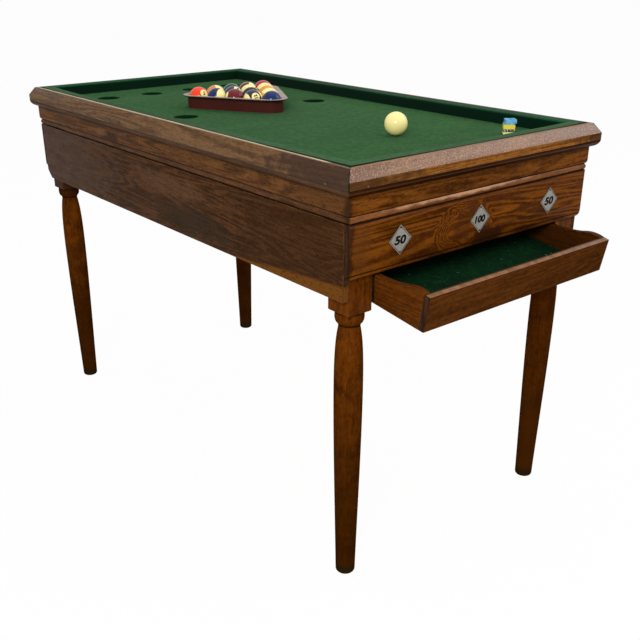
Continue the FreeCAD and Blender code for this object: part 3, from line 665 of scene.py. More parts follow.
SHOULDER = RAIL_HIGH.z - 1.5 * MM
NOWHERE = 2.0  # A height that no edge reaches, so such an arris is never rubbed bare.
DRAWER_LIP_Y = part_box("drawer_front")[0].y
DARK_TOP = ((90, 60, 36), (110, 78, 50))
DARK_REST = ((40, 22, 10), (92, 58, 30))
# The pale tops of these two arrises are partly wood rubbed bare and partly a painted highlight.
arris_side = worn("rubbed_lit_arris_side", ((150, 120, 88), (198, 176, 148)),
                  ((66, 46, 32), (98, 72, 50)), SHOULDER)
arris_front = worn("rubbed_lit_arris_front", ((150, 116, 88), (184, 150, 124)),
                   ((72, 42, 20), (122, 82, 52)), SHOULDER)
# On the far rails the pale grey-green above the shoulder is a painted highlight alone.
arris_grey_highlight = worn("painted_highlight_arris_grey", ((104, 112, 92), (132, 140, 118)), DARK_REST, SHOULDER)
arris_dark = worn("worn_arris_dark", DARK_TOP, DARK_REST, NOWHERE)
arris_drawer = worn("worn_arris_drawer", DARK_TOP, ((110, 74, 50), (138, 100, 74)), NOWHERE,
                    (DRAWER_LIP_Y + 8 * MM, DRAWER_LIP_Y + 10 * MM))
print("materials so far:", len(bpy.data.materials))

# %% [markdown]
# A sawn board never has a knife edge: sandpaper, polish and years of sleeves round it by a millimetre.
# The shapes are right already, so each board is a copy of its construction mesh, merged and cleaned,
# whose long edges are bevelled in edit mode. Edges around nail and screw holes stay as they are,
# and are told apart by the small faces beside them. The new strips take the worn finish.

# %% Easing the edges of a board
SMALL_FACE = 20 * MM * MM


def stands_in(piece, node, body):
    """The piece moves with a body and takes the place of a construction piece."""
    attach(piece, body)
    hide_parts(node)


def long_arris(edge):
    """True for an edge between two large faces that meet at a real corner."""
    faces = edge.link_faces
    return (len(faces) == 2 and edge.calc_face_angle(0) > math.radians(28)
            and min(face.calc_area() for face in faces) > SMALL_FACE)


def eased(node, name, body, finish, arris, width):
    """A copy of a construction piece whose long edges are rounded, to a width in millimetres."""
    deselect()
    mesh = nodes[node].data.copy()
    piece = bpy.data.objects.new(name, mesh)
    mesh.name = name
    bpy.context.scene.collection.objects.link(piece)
    wear(piece, finish, arris)
    edit(piece)
    bpy.ops.mesh.remove_doubles(threshold=0.00002)
    bpy.ops.mesh.dissolve_limited(angle_limit=math.radians(0.6))
    pick(piece, "EDGE", long_arris)
    bpy.ops.mesh.bevel(offset=width * MM, offset_type="OFFSET", segments=2, profile=0.6, clamp_overlap=True,
                       material=1)
    done()
    smooth(piece, 30)
    stands_in(piece, node, body)
    return piece


def reface(piece, finish, test):
    """Give the faces that pass the test another finish."""
    piece.data.materials.append(finish.material)
    edit(piece, False)
    pick(piece, "FACE", test)
    piece.active_material_index = len(piece.data.materials) - 1
    bpy.ops.object.material_slot_assign()
    done()


print("faces under %.0f mm2 keep their edges" % (SMALL_FACE / MM / MM))

# %% [markdown]
# Bevel, fascia, moulding and flat top are one board, so the rail's faces are picked by the way that
# they look and by their height, and each group gets its own finish. The front of the drawer shows end
# grain at both ends, and its upper edge is the one that hands have rubbed.

# %% Rails, boards, blocks and drawer
for side, polish, flat, edge, below in (("front", bevel_front, top_front, arris_front, moulding_shade),
                                        ("back", rail_back, dull_top, arris_grey_highlight, moulding_back),
                                        ("left", rail_sides, rubbed_lit_top, arris_side, moulding_sides),
                                        ("right", rail_sides, dull_top, arris_grey_highlight, moulding_sides)):
    rail = eased("rail_" + side, "top_rail_" + side, "table", polish, edge,
                 2.2 if side == "left" else 1.3)
    reface(rail, flat, lambda face: face.normal.z > 0.97 and face.calc_center_median().z > SHOULDER)
    if side == "front":
        reface(rail, fascia_front, lambda face: abs(face.normal.z) < 0.3)
    reface(rail, below, lambda face: face.calc_center_median().z < FASCIA_LOW - 0.2 * MM)
for side, frieze, bead in (("front", frieze_front, bead_front), ("back", frieze_back, bead_back),
                           ("left", frieze_sides, bead_sides), ("right", frieze_sides, bead_sides)):
    eased("frieze_" + side, "frieze_board_" + side, "table", frieze, arris_dark, 0.9)
    eased("bead_" + side, "bead_strip_" + side, "table", bead, arris_dark, 0.6)
for node, name, polish in (("apron_front", "front_apron", apron_oak),
                           ("end_board", "far_end_board", end_oak),
                           ("side_board_left", "left_side_board", board_left),
                           ("side_board_right", "right_side_board", board_right)):
    board = eased(node, name, "table", polish, arris_dark, 1.0)
    if node in ("apron_front", "end_board"):
        reface(board, end_grain, lambda face: abs(face.normal.x) > 0.5)
for corner in ("front_left", "front_right", "back_left", "back_right"):
    eased("corner_block_" + corner, "post_" + corner, "table", block_oak, arris_dark, 0.8)
for side in ("left", "right"):
    eased("drawer_side_" + side, "drawer_%s_side" % side, "drawer", drawer_side_oak,
          arris_dark, 0.9)
drawer_face = eased("drawer_front", "drawer_front_board", "drawer", drawer_front_oak,
                    end_grain, 1.3)
reface(drawer_face, end_grain, lambda face: abs(face.normal.x) > 0.9)
reface(drawer_face, arris_drawer, lambda face: face.normal.z > 0.3)

# %% [markdown]
# A turned leg is half a profile spun round its axis, in Blender as on the lathe. The profile is drawn
# by extruding one vertex from point to point, up the foot, the long taper, the swell, the neck and the
# collar. Stacking scaled cylinders would leave seams, and a curve with a screw modifier gives less
# control over where the points lie.

# %% Turned legs
def bezier(points, steps):
    """Points along a cubic curve with two handles, without its first point."""
    a, b, c, d = (Vector(p) for p in points)
    out = []
    for i in range(1, steps + 1):
        t = i / steps
        out.append(a * (1 - t) ** 3 + b * 3 * t * (1 - t) ** 2 + c * 3 * t * t * (1 - t) + d * t ** 3)
    return out


def round_corner(start, end, corner, steps=5):
    """A quarter of a round between two points, from the corner that it takes away."""
    pull = 0.5523
    start, end, corner = Vector(start), Vector(end), Vector(corner)
    return bezier((start, start.lerp(corner, pull), end.lerp(corner, pull), end), steps)


def leg_outline():
    """Radius and height in millimetres, from the edge of the sole to the edge of the top."""
    top = LEG_TOP / MM
    sole, ankle, belly, neck, ring, collar, crown = 14.8, 19.6, 27.45, 19.7, 20.6, 27.3, 26.2
    foot_edge, swell, waist, ring_foot, widest = 6, top - 153, top - 26, top - 22, top - 9
    points = [Vector((sole, 0))]
    points += round_corner((sole, 0), (ankle, foot_edge), (ankle, 0))
    points += bezier(((ankle, foot_edge), (22.6, 150), (belly, top - 273), (belly, swell)), 22)
    points += bezier(((belly, swell), (belly, top - 68), (23.5, top - 46), (neck, waist)), 14)
    points += [Vector((ring, waist)), Vector((ring, ring_foot))]
    points += round_corner((ring, ring_foot), (collar, widest), (collar, ring_foot))
    points += round_corner((collar, widest), (crown, top), (collar, top), 3)
    return points


deselect()
outline = leg_outline()
bpy.ops.mesh.primitive_plane_add(size=0.01, location=(outline[0].x * MM, 0, 0))
leg = added("leg_turned_front_left")
edit(leg)
bpy.ops.mesh.select_mode(type="VERT")
bpy.ops.mesh.select_all(action="SELECT")
bpy.ops.mesh.merge(type="CENTER")
for before, after in zip(outline, outline[1:]):
    step = (after - before) * MM
    bpy.ops.mesh.extrude_region_move(TRANSFORM_OT_translate={"value": (step.x, 0, step.y)})
bpy.ops.mesh.select_all(action="SELECT")
bpy.ops.mesh.spin(steps=72, angle=math.tau, center=(0, 0, 0), axis=(0, 0, 1))
bpy.ops.mesh.select_all(action="SELECT")
bpy.ops.mesh.remove_doubles(threshold=0.00001)
for height in (0.0, LEG_TOP):
    pick(leg, "EDGE", lambda e: e.is_boundary and abs(e.verts[0].co.z - height) < 1e-5)
    bpy.ops.mesh.edge_face_add()
    bpy.ops.mesh.inset(thickness=6 * MM)
done()
settle(leg)
sane(leg)
smooth(leg, 40)
wear(leg, leg_oak)
print("leg faces:", len(leg.data.polygons))

# %% [markdown]
# One leg is turned and three are copied. Each copy gets its own mesh, so that its place can be applied
# to that mesh and its object can stay at the origin, where the wood's pattern is measured from.

# %% Four legs in their places
legs = {"front_left": leg}
for corner in ("front_right", "back_left", "back_right"):
    legs[corner] = leg.copy()
    legs[corner].data = leg.data.copy()
    legs[corner].name = legs[corner].data.name = "leg_turned_" + corner
    bpy.context.scene.collection.objects.link(legs[corner])
for corner, piece in legs.items():
    where = mid("leg_" + corner)
    piece.location = (where.x, where.y, 0)
    settle(piece)
    stands_in(piece, "leg_" + corner, "table")
print("legs:", len(legs))

# %% [markdown]
# Billiard cloth is felted wool: from close by it is all short fibres, and from further off it shows a soft
# mottle and the lines of years of brushing. Noise at five sizes gives these, and a little sheen gives the
# nap. Cloth in a pocket or under a cushion's edge is painted darker for the shade there, which a height can
# say, and the cushion cloth is painted dark along its outer edge for the shade in the crease against the
# rail.

# %% Cloth finish
HEM_SHADE = (8, 24, 14)
LINT = (150, 170, 150)


def baize(name, light, dark, glow=0.03, shadow=None, hem=0.0, lint=0.0):
    """Wool cloth; a shadow is a colour with the heights where it is full and where it ends."""
    f = Finish(name)
    fuzz = f.noise(f.place, 900.0, 2.0, 0.7)
    weave = f.noise(f.mapped((1.0, 0.35, 1.0)), 300.0, 3.0, 0.6)
    mottle = f.noise(f.mapped((1, 0.7, 1)), 110.0, 4.0, 0.65)
    brushed = f.noise(f.mapped((0.25, 1.0, 1.0)), 24.0, 4.0, 0.6)
    faded = f.noise(f.place, 3.2, 4.0, 0.55, 0.3)
    level = f.maths("ADD", f.maths("MULTIPLY", faded, 0.5), f.maths("MULTIPLY", brushed, 0.25))
    for texture, share in ((weave, 0.4), (mottle, 1.1)):
        level = f.maths("ADD", level, f.maths("MULTIPLY", f.maths("SUBTRACT", texture, 0.5), share))
    colour = f.mix(f.ramp(level, 0.2, 0.6), tint(*dark), tint(*light))
    colour = f.paint(colour, f.ramp(fuzz, 0.35, 0.75, 0.0, 0.2), [min(255, c + 40) for c in light])
    if shadow:
        shade, full, end = shadow
        colour = f.mix(f.ramp(f.axes()[2], full, end), tint(*shade), colour)
    # Painted shade in the crease where the cushion cloth meets the rail.
    if hem:
        colour = f.paint(colour, hem_at(f, hem * MM), HEM_SHADE)
    if lint:
        fluff = f.ramp(f.noise(f.place, 170.0, 2.0, 0.6), 0.70, 0.76)
        colour = f.paint(colour, fluff, LINT, lint)
    f.set(Base_Color=colour, Roughness=f.ramp(weave, 0.3, 0.7, 0.86, 0.98))
    f.set(Sheen_Weight=glow, Sheen_Roughness=0.5, Specular_IOR_Level=0.03)
    f.set(Normal=f.bump(f.maths("ADD", fuzz, weave), 0.5, 0.0005))
    return f


bed_low, bed_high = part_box("bed_cloth")
CLOTH_TOP = bed_high.z
BED_MIDDLE = (bed_low + bed_high) / 2
CUSHION_LOW, CUSHION_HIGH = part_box("cushion_front")
CUSHION_SHADOW = ((4, 28, 15), CUSHION_HIGH.z - 4.5 * MM, CUSHION_HIGH.z - 1.0 * MM)
bed_baize = baize("bed_baize", (38, 85, 36), (21, 64, 24), shadow=(
    (8, 34, 20), CLOTH_TOP - 2.2 * MM, CLOTH_TOP - 0.4 * MM))
# The front and left cushions take a lit copy of the cloth with paler tops, the back and right ones a shaded
# copy with darker tops: painted light and shade.
cushion_lit = baize("lit_cushion_cloth", (48, 86, 48), (34, 68, 36), shadow=CUSHION_SHADOW, hem=6.0)
cushion_baize = baize("cushion_baize", (17, 71, 38), (9, 52, 28), shadow=CUSHION_SHADOW, hem=6.0)
drawer_baize = baize("drawer_baize", (5, 42, 16), (1, 20, 7), glow=0.0, lint=0.6)
print("cloth lies at %.1f mm" % (CLOTH_TOP / MM))

# %% [markdown]
# The bed cloth is one stretched sheet with six holes, whose edges are pulled down into the pockets and
# glued there. The sheet starts as a plane of its real size. Its face is deleted, a circle is added for
# each pocket, and the space between is filled again, so the holes are really open.

# %% Bed cloth with open pockets
RIM = 31.2 * MM

pocket_boxes = [o["box_m"] for o in frame["record"]["physics"]["openings"] if o["name"].startswith("pocket")]
pockets = [Vector(((low[0] + high[0]) / 2, (low[1] + high[1]) / 2, CLOTH_TOP)) for low, high in pocket_boxes]
deselect()
bpy.ops.mesh.primitive_plane_add(size=1, location=(BED_MIDDLE.x, BED_MIDDLE.y, CLOTH_TOP))
cloth = added("bed_cloth_sheet")
cloth.scale = (bed_high.x - bed_low.x, bed_high.y - bed_low.y, 1)
settle(cloth)
edit(cloth)
bpy.ops.mesh.delete(type="ONLY_FACE")
for pocket in pockets:
    bpy.ops.mesh.primitive_circle_add(vertices=56, radius=RIM, location=pocket)
bpy.ops.mesh.select_all(action="SELECT")
bpy.ops.mesh.fill(use_beauty=True)
bpy.ops.mesh.select_all(action="SELECT")
bpy.ops.mesh.normals_make_consistent(inside=False)
done()
print("pockets:", len(pockets))

# %% [markdown]
# Each ring of edges is extruded down and drawn in a little at a time, which gives the soft turned edge.
# A bevel would round it evenly, but glued cloth turns fast at first and then hangs almost straight.
# A solidify modifier gives the cloth its thickness, below the surface that shows.

# %% Turned-down edges of the pockets
TURN = ((30.3, 0.12), (29.4, 0.5), (28.8, 1.1), (28.4, 2.0), (28.15, 4.0), (28.15, 11.5))

edit(cloth, False)
for pocket in pockets:
    pick(cloth, "EDGE", lambda edge: edge.is_boundary and (edge.verts[0].co - pocket).length < RIM + 2.8 * MM)
    radius, depth = RIM / MM, 0.0
    for new_radius, drop in TURN:
        shrink = new_radius / radius
        bpy.ops.mesh.extrude_edges_move()
        bpy.ops.transform.resize(value=(shrink, shrink, 1), center_override=pocket)
        bpy.ops.transform.translate(value=(0, 0, (depth - drop) * MM))
        radius, depth = new_radius, drop
done()
if cloth.data.polygons[0].normal.z < 0:
    edit(cloth)
    bpy.ops.mesh.flip_normals()
    done()
modify(cloth, "SOLIDIFY", thickness=0.75 * MM, offset=-1)
smooth(cloth, 50)
wear(cloth, bed_baize)
stands_in(cloth, "bed_cloth", "table")

# %% [markdown]
# A cushion is a rubber strip under tight cloth. It starts as a box at its size, gets a rounded nose and
# a rounded back edge, and is cut to a mitre at both ends. Then it is divided along its length, and each
# slice is moved by a few tenths of a millimetre, because cloth pulled over by hand is never dead straight.

# %% Cushions
SIDES = {"front": (0, bed_low), "back": (0, bed_high), "left": (1, bed_low), "right": (1, bed_high)}
NOSE_ROUND, BACK_ROUND = (6.5, 7), (2.5, 4)
MITRE_ROOM = 45 * MM


def axis_vector(axis, value=1.0):
    """A vector along one axis."""
    out = Vector((0, 0, 0))
    out[axis] = value
    return out


def cushion(side, along, inner_edge, slices):
    """A strip along one axis, with its nose towards the bed's middle."""
    low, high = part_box("cushion_" + side)
    centre = (low + high) / 2
    across = 1 - along
    outward = 1 if centre[across] > BED_MIDDLE[across] else -1
    outer = high[across] if outward > 0 else low[across]
    deselect()
    bpy.ops.mesh.primitive_cube_add(size=1, location=centre)
    piece = added("cushion_strip_" + side)
    piece.scale = high - low
    settle(piece)
    edit(piece)
    for place, (radius, segments) in ((inner_edge[across], NOSE_ROUND), (outer, BACK_ROUND)):
        pick(piece, "EDGE", lambda e: all(
            abs(v.co.z - high.z) < 1e-4 and abs(v.co[across] - place) < 1e-4 for v in e.verts))
        bpy.ops.mesh.bevel(offset=radius * MM, segments=segments, profile=0.5)
    for end in (-1, 1):
        corner = Vector((0, 0, centre.z))
        corner[across] = outer
        corner[along] = high[along] if end > 0 else low[along]
        slant = axis_vector(along, end) - axis_vector(across, outward)
        bpy.ops.mesh.select_all(action="SELECT")
        bpy.ops.mesh.bisect(plane_co=corner, plane_no=slant, use_fill=True, clear_outer=True)
    run_low, run_high = low[along] + MITRE_ROOM, high[along] - MITRE_ROOM
    for i in range(slices + 1):
        at = centre.copy()
        at[along] = run_low + (run_high - run_low) * i / slices
        bpy.ops.mesh.select_all(action="SELECT")
        bpy.ops.mesh.bisect(plane_co=at, plane_no=axis_vector(along))
        pick(piece, "VERT", lambda v: (
            abs(v.co[along] - at[along]) < 1e-5 and v.co.z > CUSHION_LOW.z + 4 * MM))
        shift = [0, 0, random.uniform(-0.35, 0.05) * MM]
        shift[across] = outward * random.uniform(0.0, 0.5) * MM
        bpy.ops.transform.translate(value=shift)
    done()
    return sane(piece)


random.seed(7)
for side, (along, inner_edge) in SIDES.items():
    piece = smooth(cushion(side, along, inner_edge, 30 if along else 16), 40)
    wear(piece, cushion_lit if side in ("front", "left") else cushion_baize)
    stands_in(piece, "cushion_" + side, "table")
print("cushions crowned to %.1f mm" % (CUSHION_HIGH.z / MM))

# %% [markdown]
# The drawer floor and the ball run under the bed are lined with the same cloth, laid flat and glued.
# A plane is enough to start with: it is divided, turned to the slope of the board below, given a few
# soft ripples where the glue has let go, and then its thickness.

# %% Linings of the drawer and the ball run
def lining(node, name, body, thick, ripple):
    """A glued cloth on a sloping board, with ripples of a height in millimetres."""
    low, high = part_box(node)
    rise = high.z - low.z - thick
    flat = (high.x - low.x - 0.6 * MM, math.hypot(high.y - low.y, rise) - 2 * MM)
    deselect()
    bpy.ops.mesh.primitive_plane_add(
        size=1, location=((low.x + high.x) / 2, (low.y + high.y) / 2, (low.z + high.z + thick) / 2),
        rotation=(math.atan2(rise, high.y - low.y), 0, 0))
    piece = added(name)
    piece.scale = (*flat, 1)
    settle(piece)
    edit(piece)
    bpy.ops.mesh.subdivide(number_cuts=26)
    done()
    for vertex in piece.data.vertices:
        x, y = vertex.co.x * 60, vertex.co.y * 60
        wave = math.sin(x * 0.9 + 1.3 * math.sin(y * 0.5)) * math.sin(y * 1.1)
        vertex.co.z -= ripple * MM * (0.5 + 0.5 * wave)
    modify(piece, "SOLIDIFY", thickness=thick * 0.8, offset=-1)
    smooth(piece, 50)
    wear(piece, drawer_baize)
    stands_in(piece, node, body)
    print("%s %.3f x %.3f m" % (name, *flat))


lining("drawer_felt", "drawer_lining", "drawer", 1.2 * MM, 0.3)
lining("run_cloth", "run_lining", "table", 0.8 * MM, 0.2)

# %% [markdown]
# Pins, nails, screws and bolts keep their construction meshes and take a dull steel with fine scratches
# and a brown bloom. The wood that nobody sees keeps its mesh too, in plain softwood and plywood.

# %% Steel and hidden wood
def metal(name, light, dark, rough, metallic=1.0, bloom=0.4, shine=0.5):
    """Scratched metal or paint, with a brown bloom in patches."""
    f = Finish(name)
    scratch = f.noise(f.mapped((1, 1, 0.2)), 500.0, 3.0, 0.6)
    patch = f.noise(f.place, 70.0, 4.0, 0.6)
    colour = f.mix(scratch, tint(*dark), tint(*light))
    colour = f.paint(colour, f.ramp(patch, 0.5, 0.75, 0.0, bloom), (72, 52, 36))
    f.set(Base_Color=colour, Metallic=metallic, Roughness=f.ramp(patch, 0.3, 0.7, rough, rough + 0.18))
    f.set(Normal=f.bump(scratch, 0.15, 0.0002), Specular_IOR_Level=shine)
    return f


steel = metal("dull_steel", (150, 142, 130), (90, 82, 72), 0.42)
pin_steel = metal("blackened_pins", (62, 54, 46), (34, 28, 24), 0.6, 0.6)
POCKET_SHADE = (0.045, 0.045, 0.045)
# The plywood is painted nearly black round each pocket hole, as painted shade down in the pockets.
plywood = oak("bed_plywood", "x", (186, 150, 108), (140, 106, 72), 15.7, 0.4, 0.3, 0.8, 0.3, rough=0.6,
              marks=[((pocket.x, pocket.y, pocket.z - 20 * MM), POCKET_SHADE, (16, 12, 9), 1.0)
                     for pocket in pockets])
KEPT = (
    (steel, ("rail_nails", "block_screws", "leg_bolts")),
    (pin_steel, ("plate_pins",)),
    (softwood, ("bed_ledgers", "cushion_liners", "run_cheek_left", "run_cheek_right", "run_end_stop",
                "guide_packings")),
    (gap_shade_wood, ("drawer_guide_left", "drawer_guide_right", "drawer_cleats", "drawer_stops")),
    (plywood, ("bed_board", "run_floor", "drawer_floor")))
for finish, kept in KEPT:
    for node in kept:
        wear(nodes[node], finish)
print("construction pieces that keep their mesh:", sum(len(kept) for finish, kept in KEPT))

# %% [markdown]
# The plates and the balls have numbers. A number is made as text, thickened a little, leaned if it has
# to, and then turned into a mesh, because text can't be applied or bent. It is centred by its own
# outline and not by its letter boxes, which have room at their sides.

# %% Numbers
CURVE_STEPS = 6


def number_mesh(name, text, size, lean=0.0, bold=0.0, depth=0.0):
    """Text as a mesh that lies in the XY plane, centred on the origin."""
    deselect()
    bpy.ops.object.text_add(location=(0, 0, 0))
    piece = added(name)
    letters = piece.data
    letters.body = text
    letters.size = size
    letters.shear = lean
    letters.offset = bold
    letters.extrude = depth
    letters.resolution_u = CURVE_STEPS
    letters.align_x = "CENTER"
    letters.align_y = "CENTER"
    bpy.ops.object.convert(target="MESH")
    piece = added(name)
    edit(piece)
    bpy.ops.mesh.remove_doubles(threshold=0.000005)
    done()
    xs = [v.co.x for v in piece.data.vertices]
    ys = [v.co.y for v in piece.data.vertices]
    piece.location = (-(min(xs) + max(xs)) / 2, -(min(ys) + max(ys)) / 2, 0)
    return settle(piece)


print("each curve of a number has %d steps" % CURVE_STEPS)

# %% [markdown]
# The score plates are thin diamonds of dull metal with a dark line round the edge and black numbers.
# Each starts as a flat box that stands on its corner. Its face is inset twice: the first ring stays
# metal, and the second takes the dark line. An inset keeps the corners of the line sharp, which a
# pattern in the finish could not do at this size.

# %% Score plates
PLATE_SIDE = 38.5 * MM
PLATE_BORDER = 1.3 * MM
PLATE_LINE = 1.0 * MM
NUMBER_LOOK = {"lean": 0.16, "bold": 0.0009, "depth": 0.00012}
NUMBER_SIZE = {"50": (0.0205, 1.3), "100": (0.0175, 1.15)}

plate_metal = metal("plate_metal", (168, 164, 154), (104, 100, 94), 0.55, 0.15, 0.2)
plate_line = metal("plate_line", (26, 20, 16), (14, 11, 9), 0.7, 0.0, 0.2, 0.1)
number_paint = metal("number_paint", (12, 11, 11), (5, 5, 5), 0.6, 0.0, 0.0, 0.05)


def score_plate(node):
    """A diamond whose line is dark, and whose side faces are painted dark for the shade along its edges."""
    low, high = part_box(node)
    centre = (low + high) / 2
    deselect()
    bpy.ops.mesh.primitive_cube_add(size=1, location=centre, rotation=(0, math.radians(45), 0))
    plate = added("score_" + node)
    plate.scale = (PLATE_SIDE, high.y - low.y, PLATE_SIDE)
    settle(plate)
    wear(plate, plate_metal, plate_line)
    edit(plate)
    pick(plate, "FACE", lambda face: face.normal.y < -0.9)
    bpy.ops.mesh.inset(thickness=PLATE_BORDER)
    bpy.ops.mesh.inset(thickness=PLATE_LINE)
    done()
    line_half = PLATE_SIDE / 2 - PLATE_BORDER - PLATE_LINE / 2
    ring = sorted((face for face in plate.data.polygons if face.normal.y < -0.9),
                  key=lambda face: abs((face.center - centre).length - line_half))[:4]
    # The side faces take the dark line's finish as painted shade.
    shaded_sides = [face for face in plate.data.polygons if abs(face.normal.y) < 0.5]
    for face in ring + shaded_sides:
        face.material_index = 1
    return plate


def plate_number(node, text):
    """The number on a plate, raised by less than 0.2 mm."""
    size, wide = NUMBER_SIZE[text]
    number = number_mesh("number_" + node, text, size, **NUMBER_LOOK)
    number.scale = (wide, 1, 1)
    number.rotation_euler = (math.radians(90), 0, 0)
    centre = mid(node)
    number.location = (centre.x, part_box(node)[0].y - 0.05 * MM, centre.z - 0.4 * MM)
    settle(number)
    return wear(number, number_paint)


for node, text in (("plate_50_left", "50"), ("plate_100", "100"), ("plate_50_right", "50")):
    plate = score_plate(node)
    number = plate_number(node, text)
    stands_in(plate, node, "table")
    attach(number, "table")
    print("plate %s: %d faces" % (text, len(plate.data.polygons)))

# %% [markdown]
# The rack is moulded plastic, with a wall and a thin lip that leans out. It keeps its construction
# shape with softened edges. Plastic needs less pattern than wood: a slight cloudiness, and fine
# scratches in the gloss, are what tell the eye that it is not paint.

# %% Ball rack
def plastic(name, light, dark, rough, coat, under_lip_shade=None):
    """Moulded plastic; the under-lip shade is a painted shade colour with the heights where it starts and is
    full.
    """
    f = Finish(name)
    cloud = f.noise(f.place, 22.0, 3.0, 0.5)
    fine = f.noise(f.place, 480.0, 3.0, 0.7)
    colour = f.mix(cloud, tint(*dark), tint(*light))
    if under_lip_shade:
        shade, start, full = under_lip_shade
        colour = f.paint(colour, f.ramp(f.axes()[2], start, full), shade)
    f.set(Base_Color=colour, Roughness=f.ramp(fine, 0.3, 0.7, rough, rough + 0.12))
    f.set(Normal=f.bump(fine, 0.12, 0.0003), Specular_IOR_Level=0.2)
    f.set(Coat_Weight=coat, Coat_Roughness=0.12)
    return f


rack_low, rack_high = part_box("rack_triangle")
LIP_LOW = rack_high.z - 3.5 * MM
# The wall is painted dark just under the lip, for the shade that the lip casts.
rack_wall = plastic("rack_plastic", (76, 28, 22), (56, 20, 15), 0.45, 0.05, (
    (26, 10, 8), rack_high.z - 8 * MM, LIP_LOW))
# The lip's top and the rack's arrises are painted pale grey, a painted reflection on the glossy plastic.
lip_reflection = plastic("painted_reflection_lip_plastic", (172, 158, 142), (112, 96, 84), 0.5, 0.05)
rack = eased("rack_triangle", "ball_rack", "rack", rack_wall, lip_reflection, 0.5)
reface(rack, lip_reflection, lambda face: face.normal.z > 0.3 and face.calc_center_median().z > LIP_LOW)
print("rack %.0f mm high" % ((rack_high.z - rack_low.z) / MM))

# %% [markdown]
# A pool ball is cast resin, with its stripe and number cast in and not painted on. The resins differ
# only in colour, so one recipe makes them all: a faint cloud in the colour and a thin clear gloss.

# %% Ball resins
def resin(name, light, dark):
    """Polished resin between two close colours."""
    f = Finish(name)
    cloud = f.noise(f.place, 60.0, 2.0, 0.5)
    fine = f.noise(f.place, 700.0, 2.0, 0.6)
    f.set(Base_Color=f.mix(cloud, tint(*dark), tint(*light)), Roughness=f.ramp(fine, 0.3, 0.7, 0.10, 0.2))
    f.set(Coat_Weight=0.3, Coat_Roughness=0.06, Specular_IOR_Level=0.1, Normal=f.bump(fine, 0.02, 0.0002))
    return f


cream = resin("ball_cream", (244, 230, 158), (234, 218, 140))
ink = resin("ball_ink", (28, 26, 28), (16, 14, 16))
BALL_COLOURS = {
    "yellow": (232, 158, 20), "blue": (4, 36, 92), "red": (188, 24, 36), "purple": (48, 34, 66),
    "orange": (246, 62, 8), "green": (8, 66, 50), "maroon": (110, 12, 28), "black": (22, 22, 24),
    "brown": (106, 34, 26), "amber": (224, 138, 30)}
shades = {name: resin("ball_" + name, colour, [int(c * 0.86) for c in colour])
          for name, colour in BALL_COLOURS.items()}
print("resins:", len(shades) + 2)

# %% [markdown]
# A sphere is cut along the edges of the stripe and of the two number discs, and the faces between the
# cuts take their own resin, which keeps every border sharp. A number starts flat. It is divided and
# laid on the sphere point by point, because a shrinkwrap could pull its corners to the wrong side.

# %% One ball
BALL = 24 * MM
DISC_CUT = 0.91
STRIPE_CUT = 0.55
INK_HEIGHT = 0.06 * MM


def ball_sphere(name, shade, stripe, numbered):
    """A ball in its local place: number discs on +X and -X, poles on +Z and -Z."""
    deselect()
    bpy.ops.mesh.primitive_uv_sphere_add(segments=40, ring_count=20, radius=BALL)
    piece = added(name)
    cuts = []
    if numbered:
        cuts += [((s * DISC_CUT * BALL, 0, 0), (1, 0, 0)) for s in (-1, 1)]
    if stripe:
        cuts += [((0, 0, s * STRIPE_CUT * BALL), (0, 0, 1)) for s in (-1, 1)]
    edit(piece)
    for where, normal in cuts:
        bpy.ops.mesh.select_all(action="SELECT")
        bpy.ops.mesh.bisect(plane_co=where, plane_no=normal)
    done()
    wear(piece, cream, shades.get(shade, cream), ink)
    for face in piece.data.polygons:
        on_disc = numbered and abs(face.center.x) > DISC_CUT * BALL * 0.999
        on_colour = shade and (not stripe or abs(face.center.z) < STRIPE_CUT * BALL)
        face.material_index = 1 if on_colour and not on_disc else 0
    return piece


def ball_digits(name, number, shade, s):
    """A number laid on the sphere, on the +X disc or the -X disc."""
    size = 12.8 * MM if number < 10 else 10.8 * MM
    digits = number_mesh(name + "_digits", str(number), size, bold=0.0005)
    edit(digits)
    bpy.ops.mesh.subdivide(number_cuts=1)
    done()
    for v in digits.data.vertices:
        out = Vector((s * math.sqrt(BALL ** 2 - v.co.x ** 2 - v.co.y ** 2), s * v.co.x, v.co.y))
        v.co = out * (1 + INK_HEIGHT / BALL)
    wear(digits, cream, shades[shade], ink)
    for face in digits.data.polygons:
        face.material_index = 2
    return digits


print("ball radius %.0f mm" % (BALL / MM))

# %% [markdown]
# Each ball has its own turn, as they lie in the rack: one direction for a number, one for a pole. Both
# are given as seen from the player's corner, to the right, upwards and towards the eye, and three
# vectors at right angles make the turn. That is easier to read off than three angles.

# %% Turning a ball into its place
RIGHT = Vector((0.80, -0.60, 0.0))
UPWARD = Vector((0.081, 0.108, 0.990))
TOWARD = Vector((-0.594, -0.793, 0.135))
LOW = (0.1, -0.93, 0.35)


def as_seen(direction):
    """A direction given as right, upward and toward, in the frame's own axes."""
    return RIGHT * direction[0] + UPWARD * direction[1] + TOWARD * direction[2]


def ball(name, place, shade=None, stripe=False, number=None, spot=LOW, pole=None):
    """A finished ball at a place, turned so that a number and a pole point where they should."""
    piece = ball_sphere(name, shade, stripe, number is not None)
    if number is not None:
        digits = [ball_digits(name, number, shade, s) for s in (-1, 1)]
        deselect()
        for part in (piece, *digits):
            part.select_set(True)
        bpy.context.view_layer.objects.active = piece
        bpy.ops.object.join()
    spot = as_seen(spot)
    pole = as_seen(pole) if pole else spot.cross(RIGHT)
    pole.normalize()
    spot = (spot - pole * spot.dot(pole)).normalized()
    turn = Matrix((spot, pole.cross(spot), pole)).transposed()
    piece.matrix_world = Matrix.Translation(place) @ turn.to_4x4()
    settle(piece)
    return smooth(piece, 40)


print("the eye looks %.1f degrees down on the balls" % math.degrees(math.asin(TOWARD.z)))

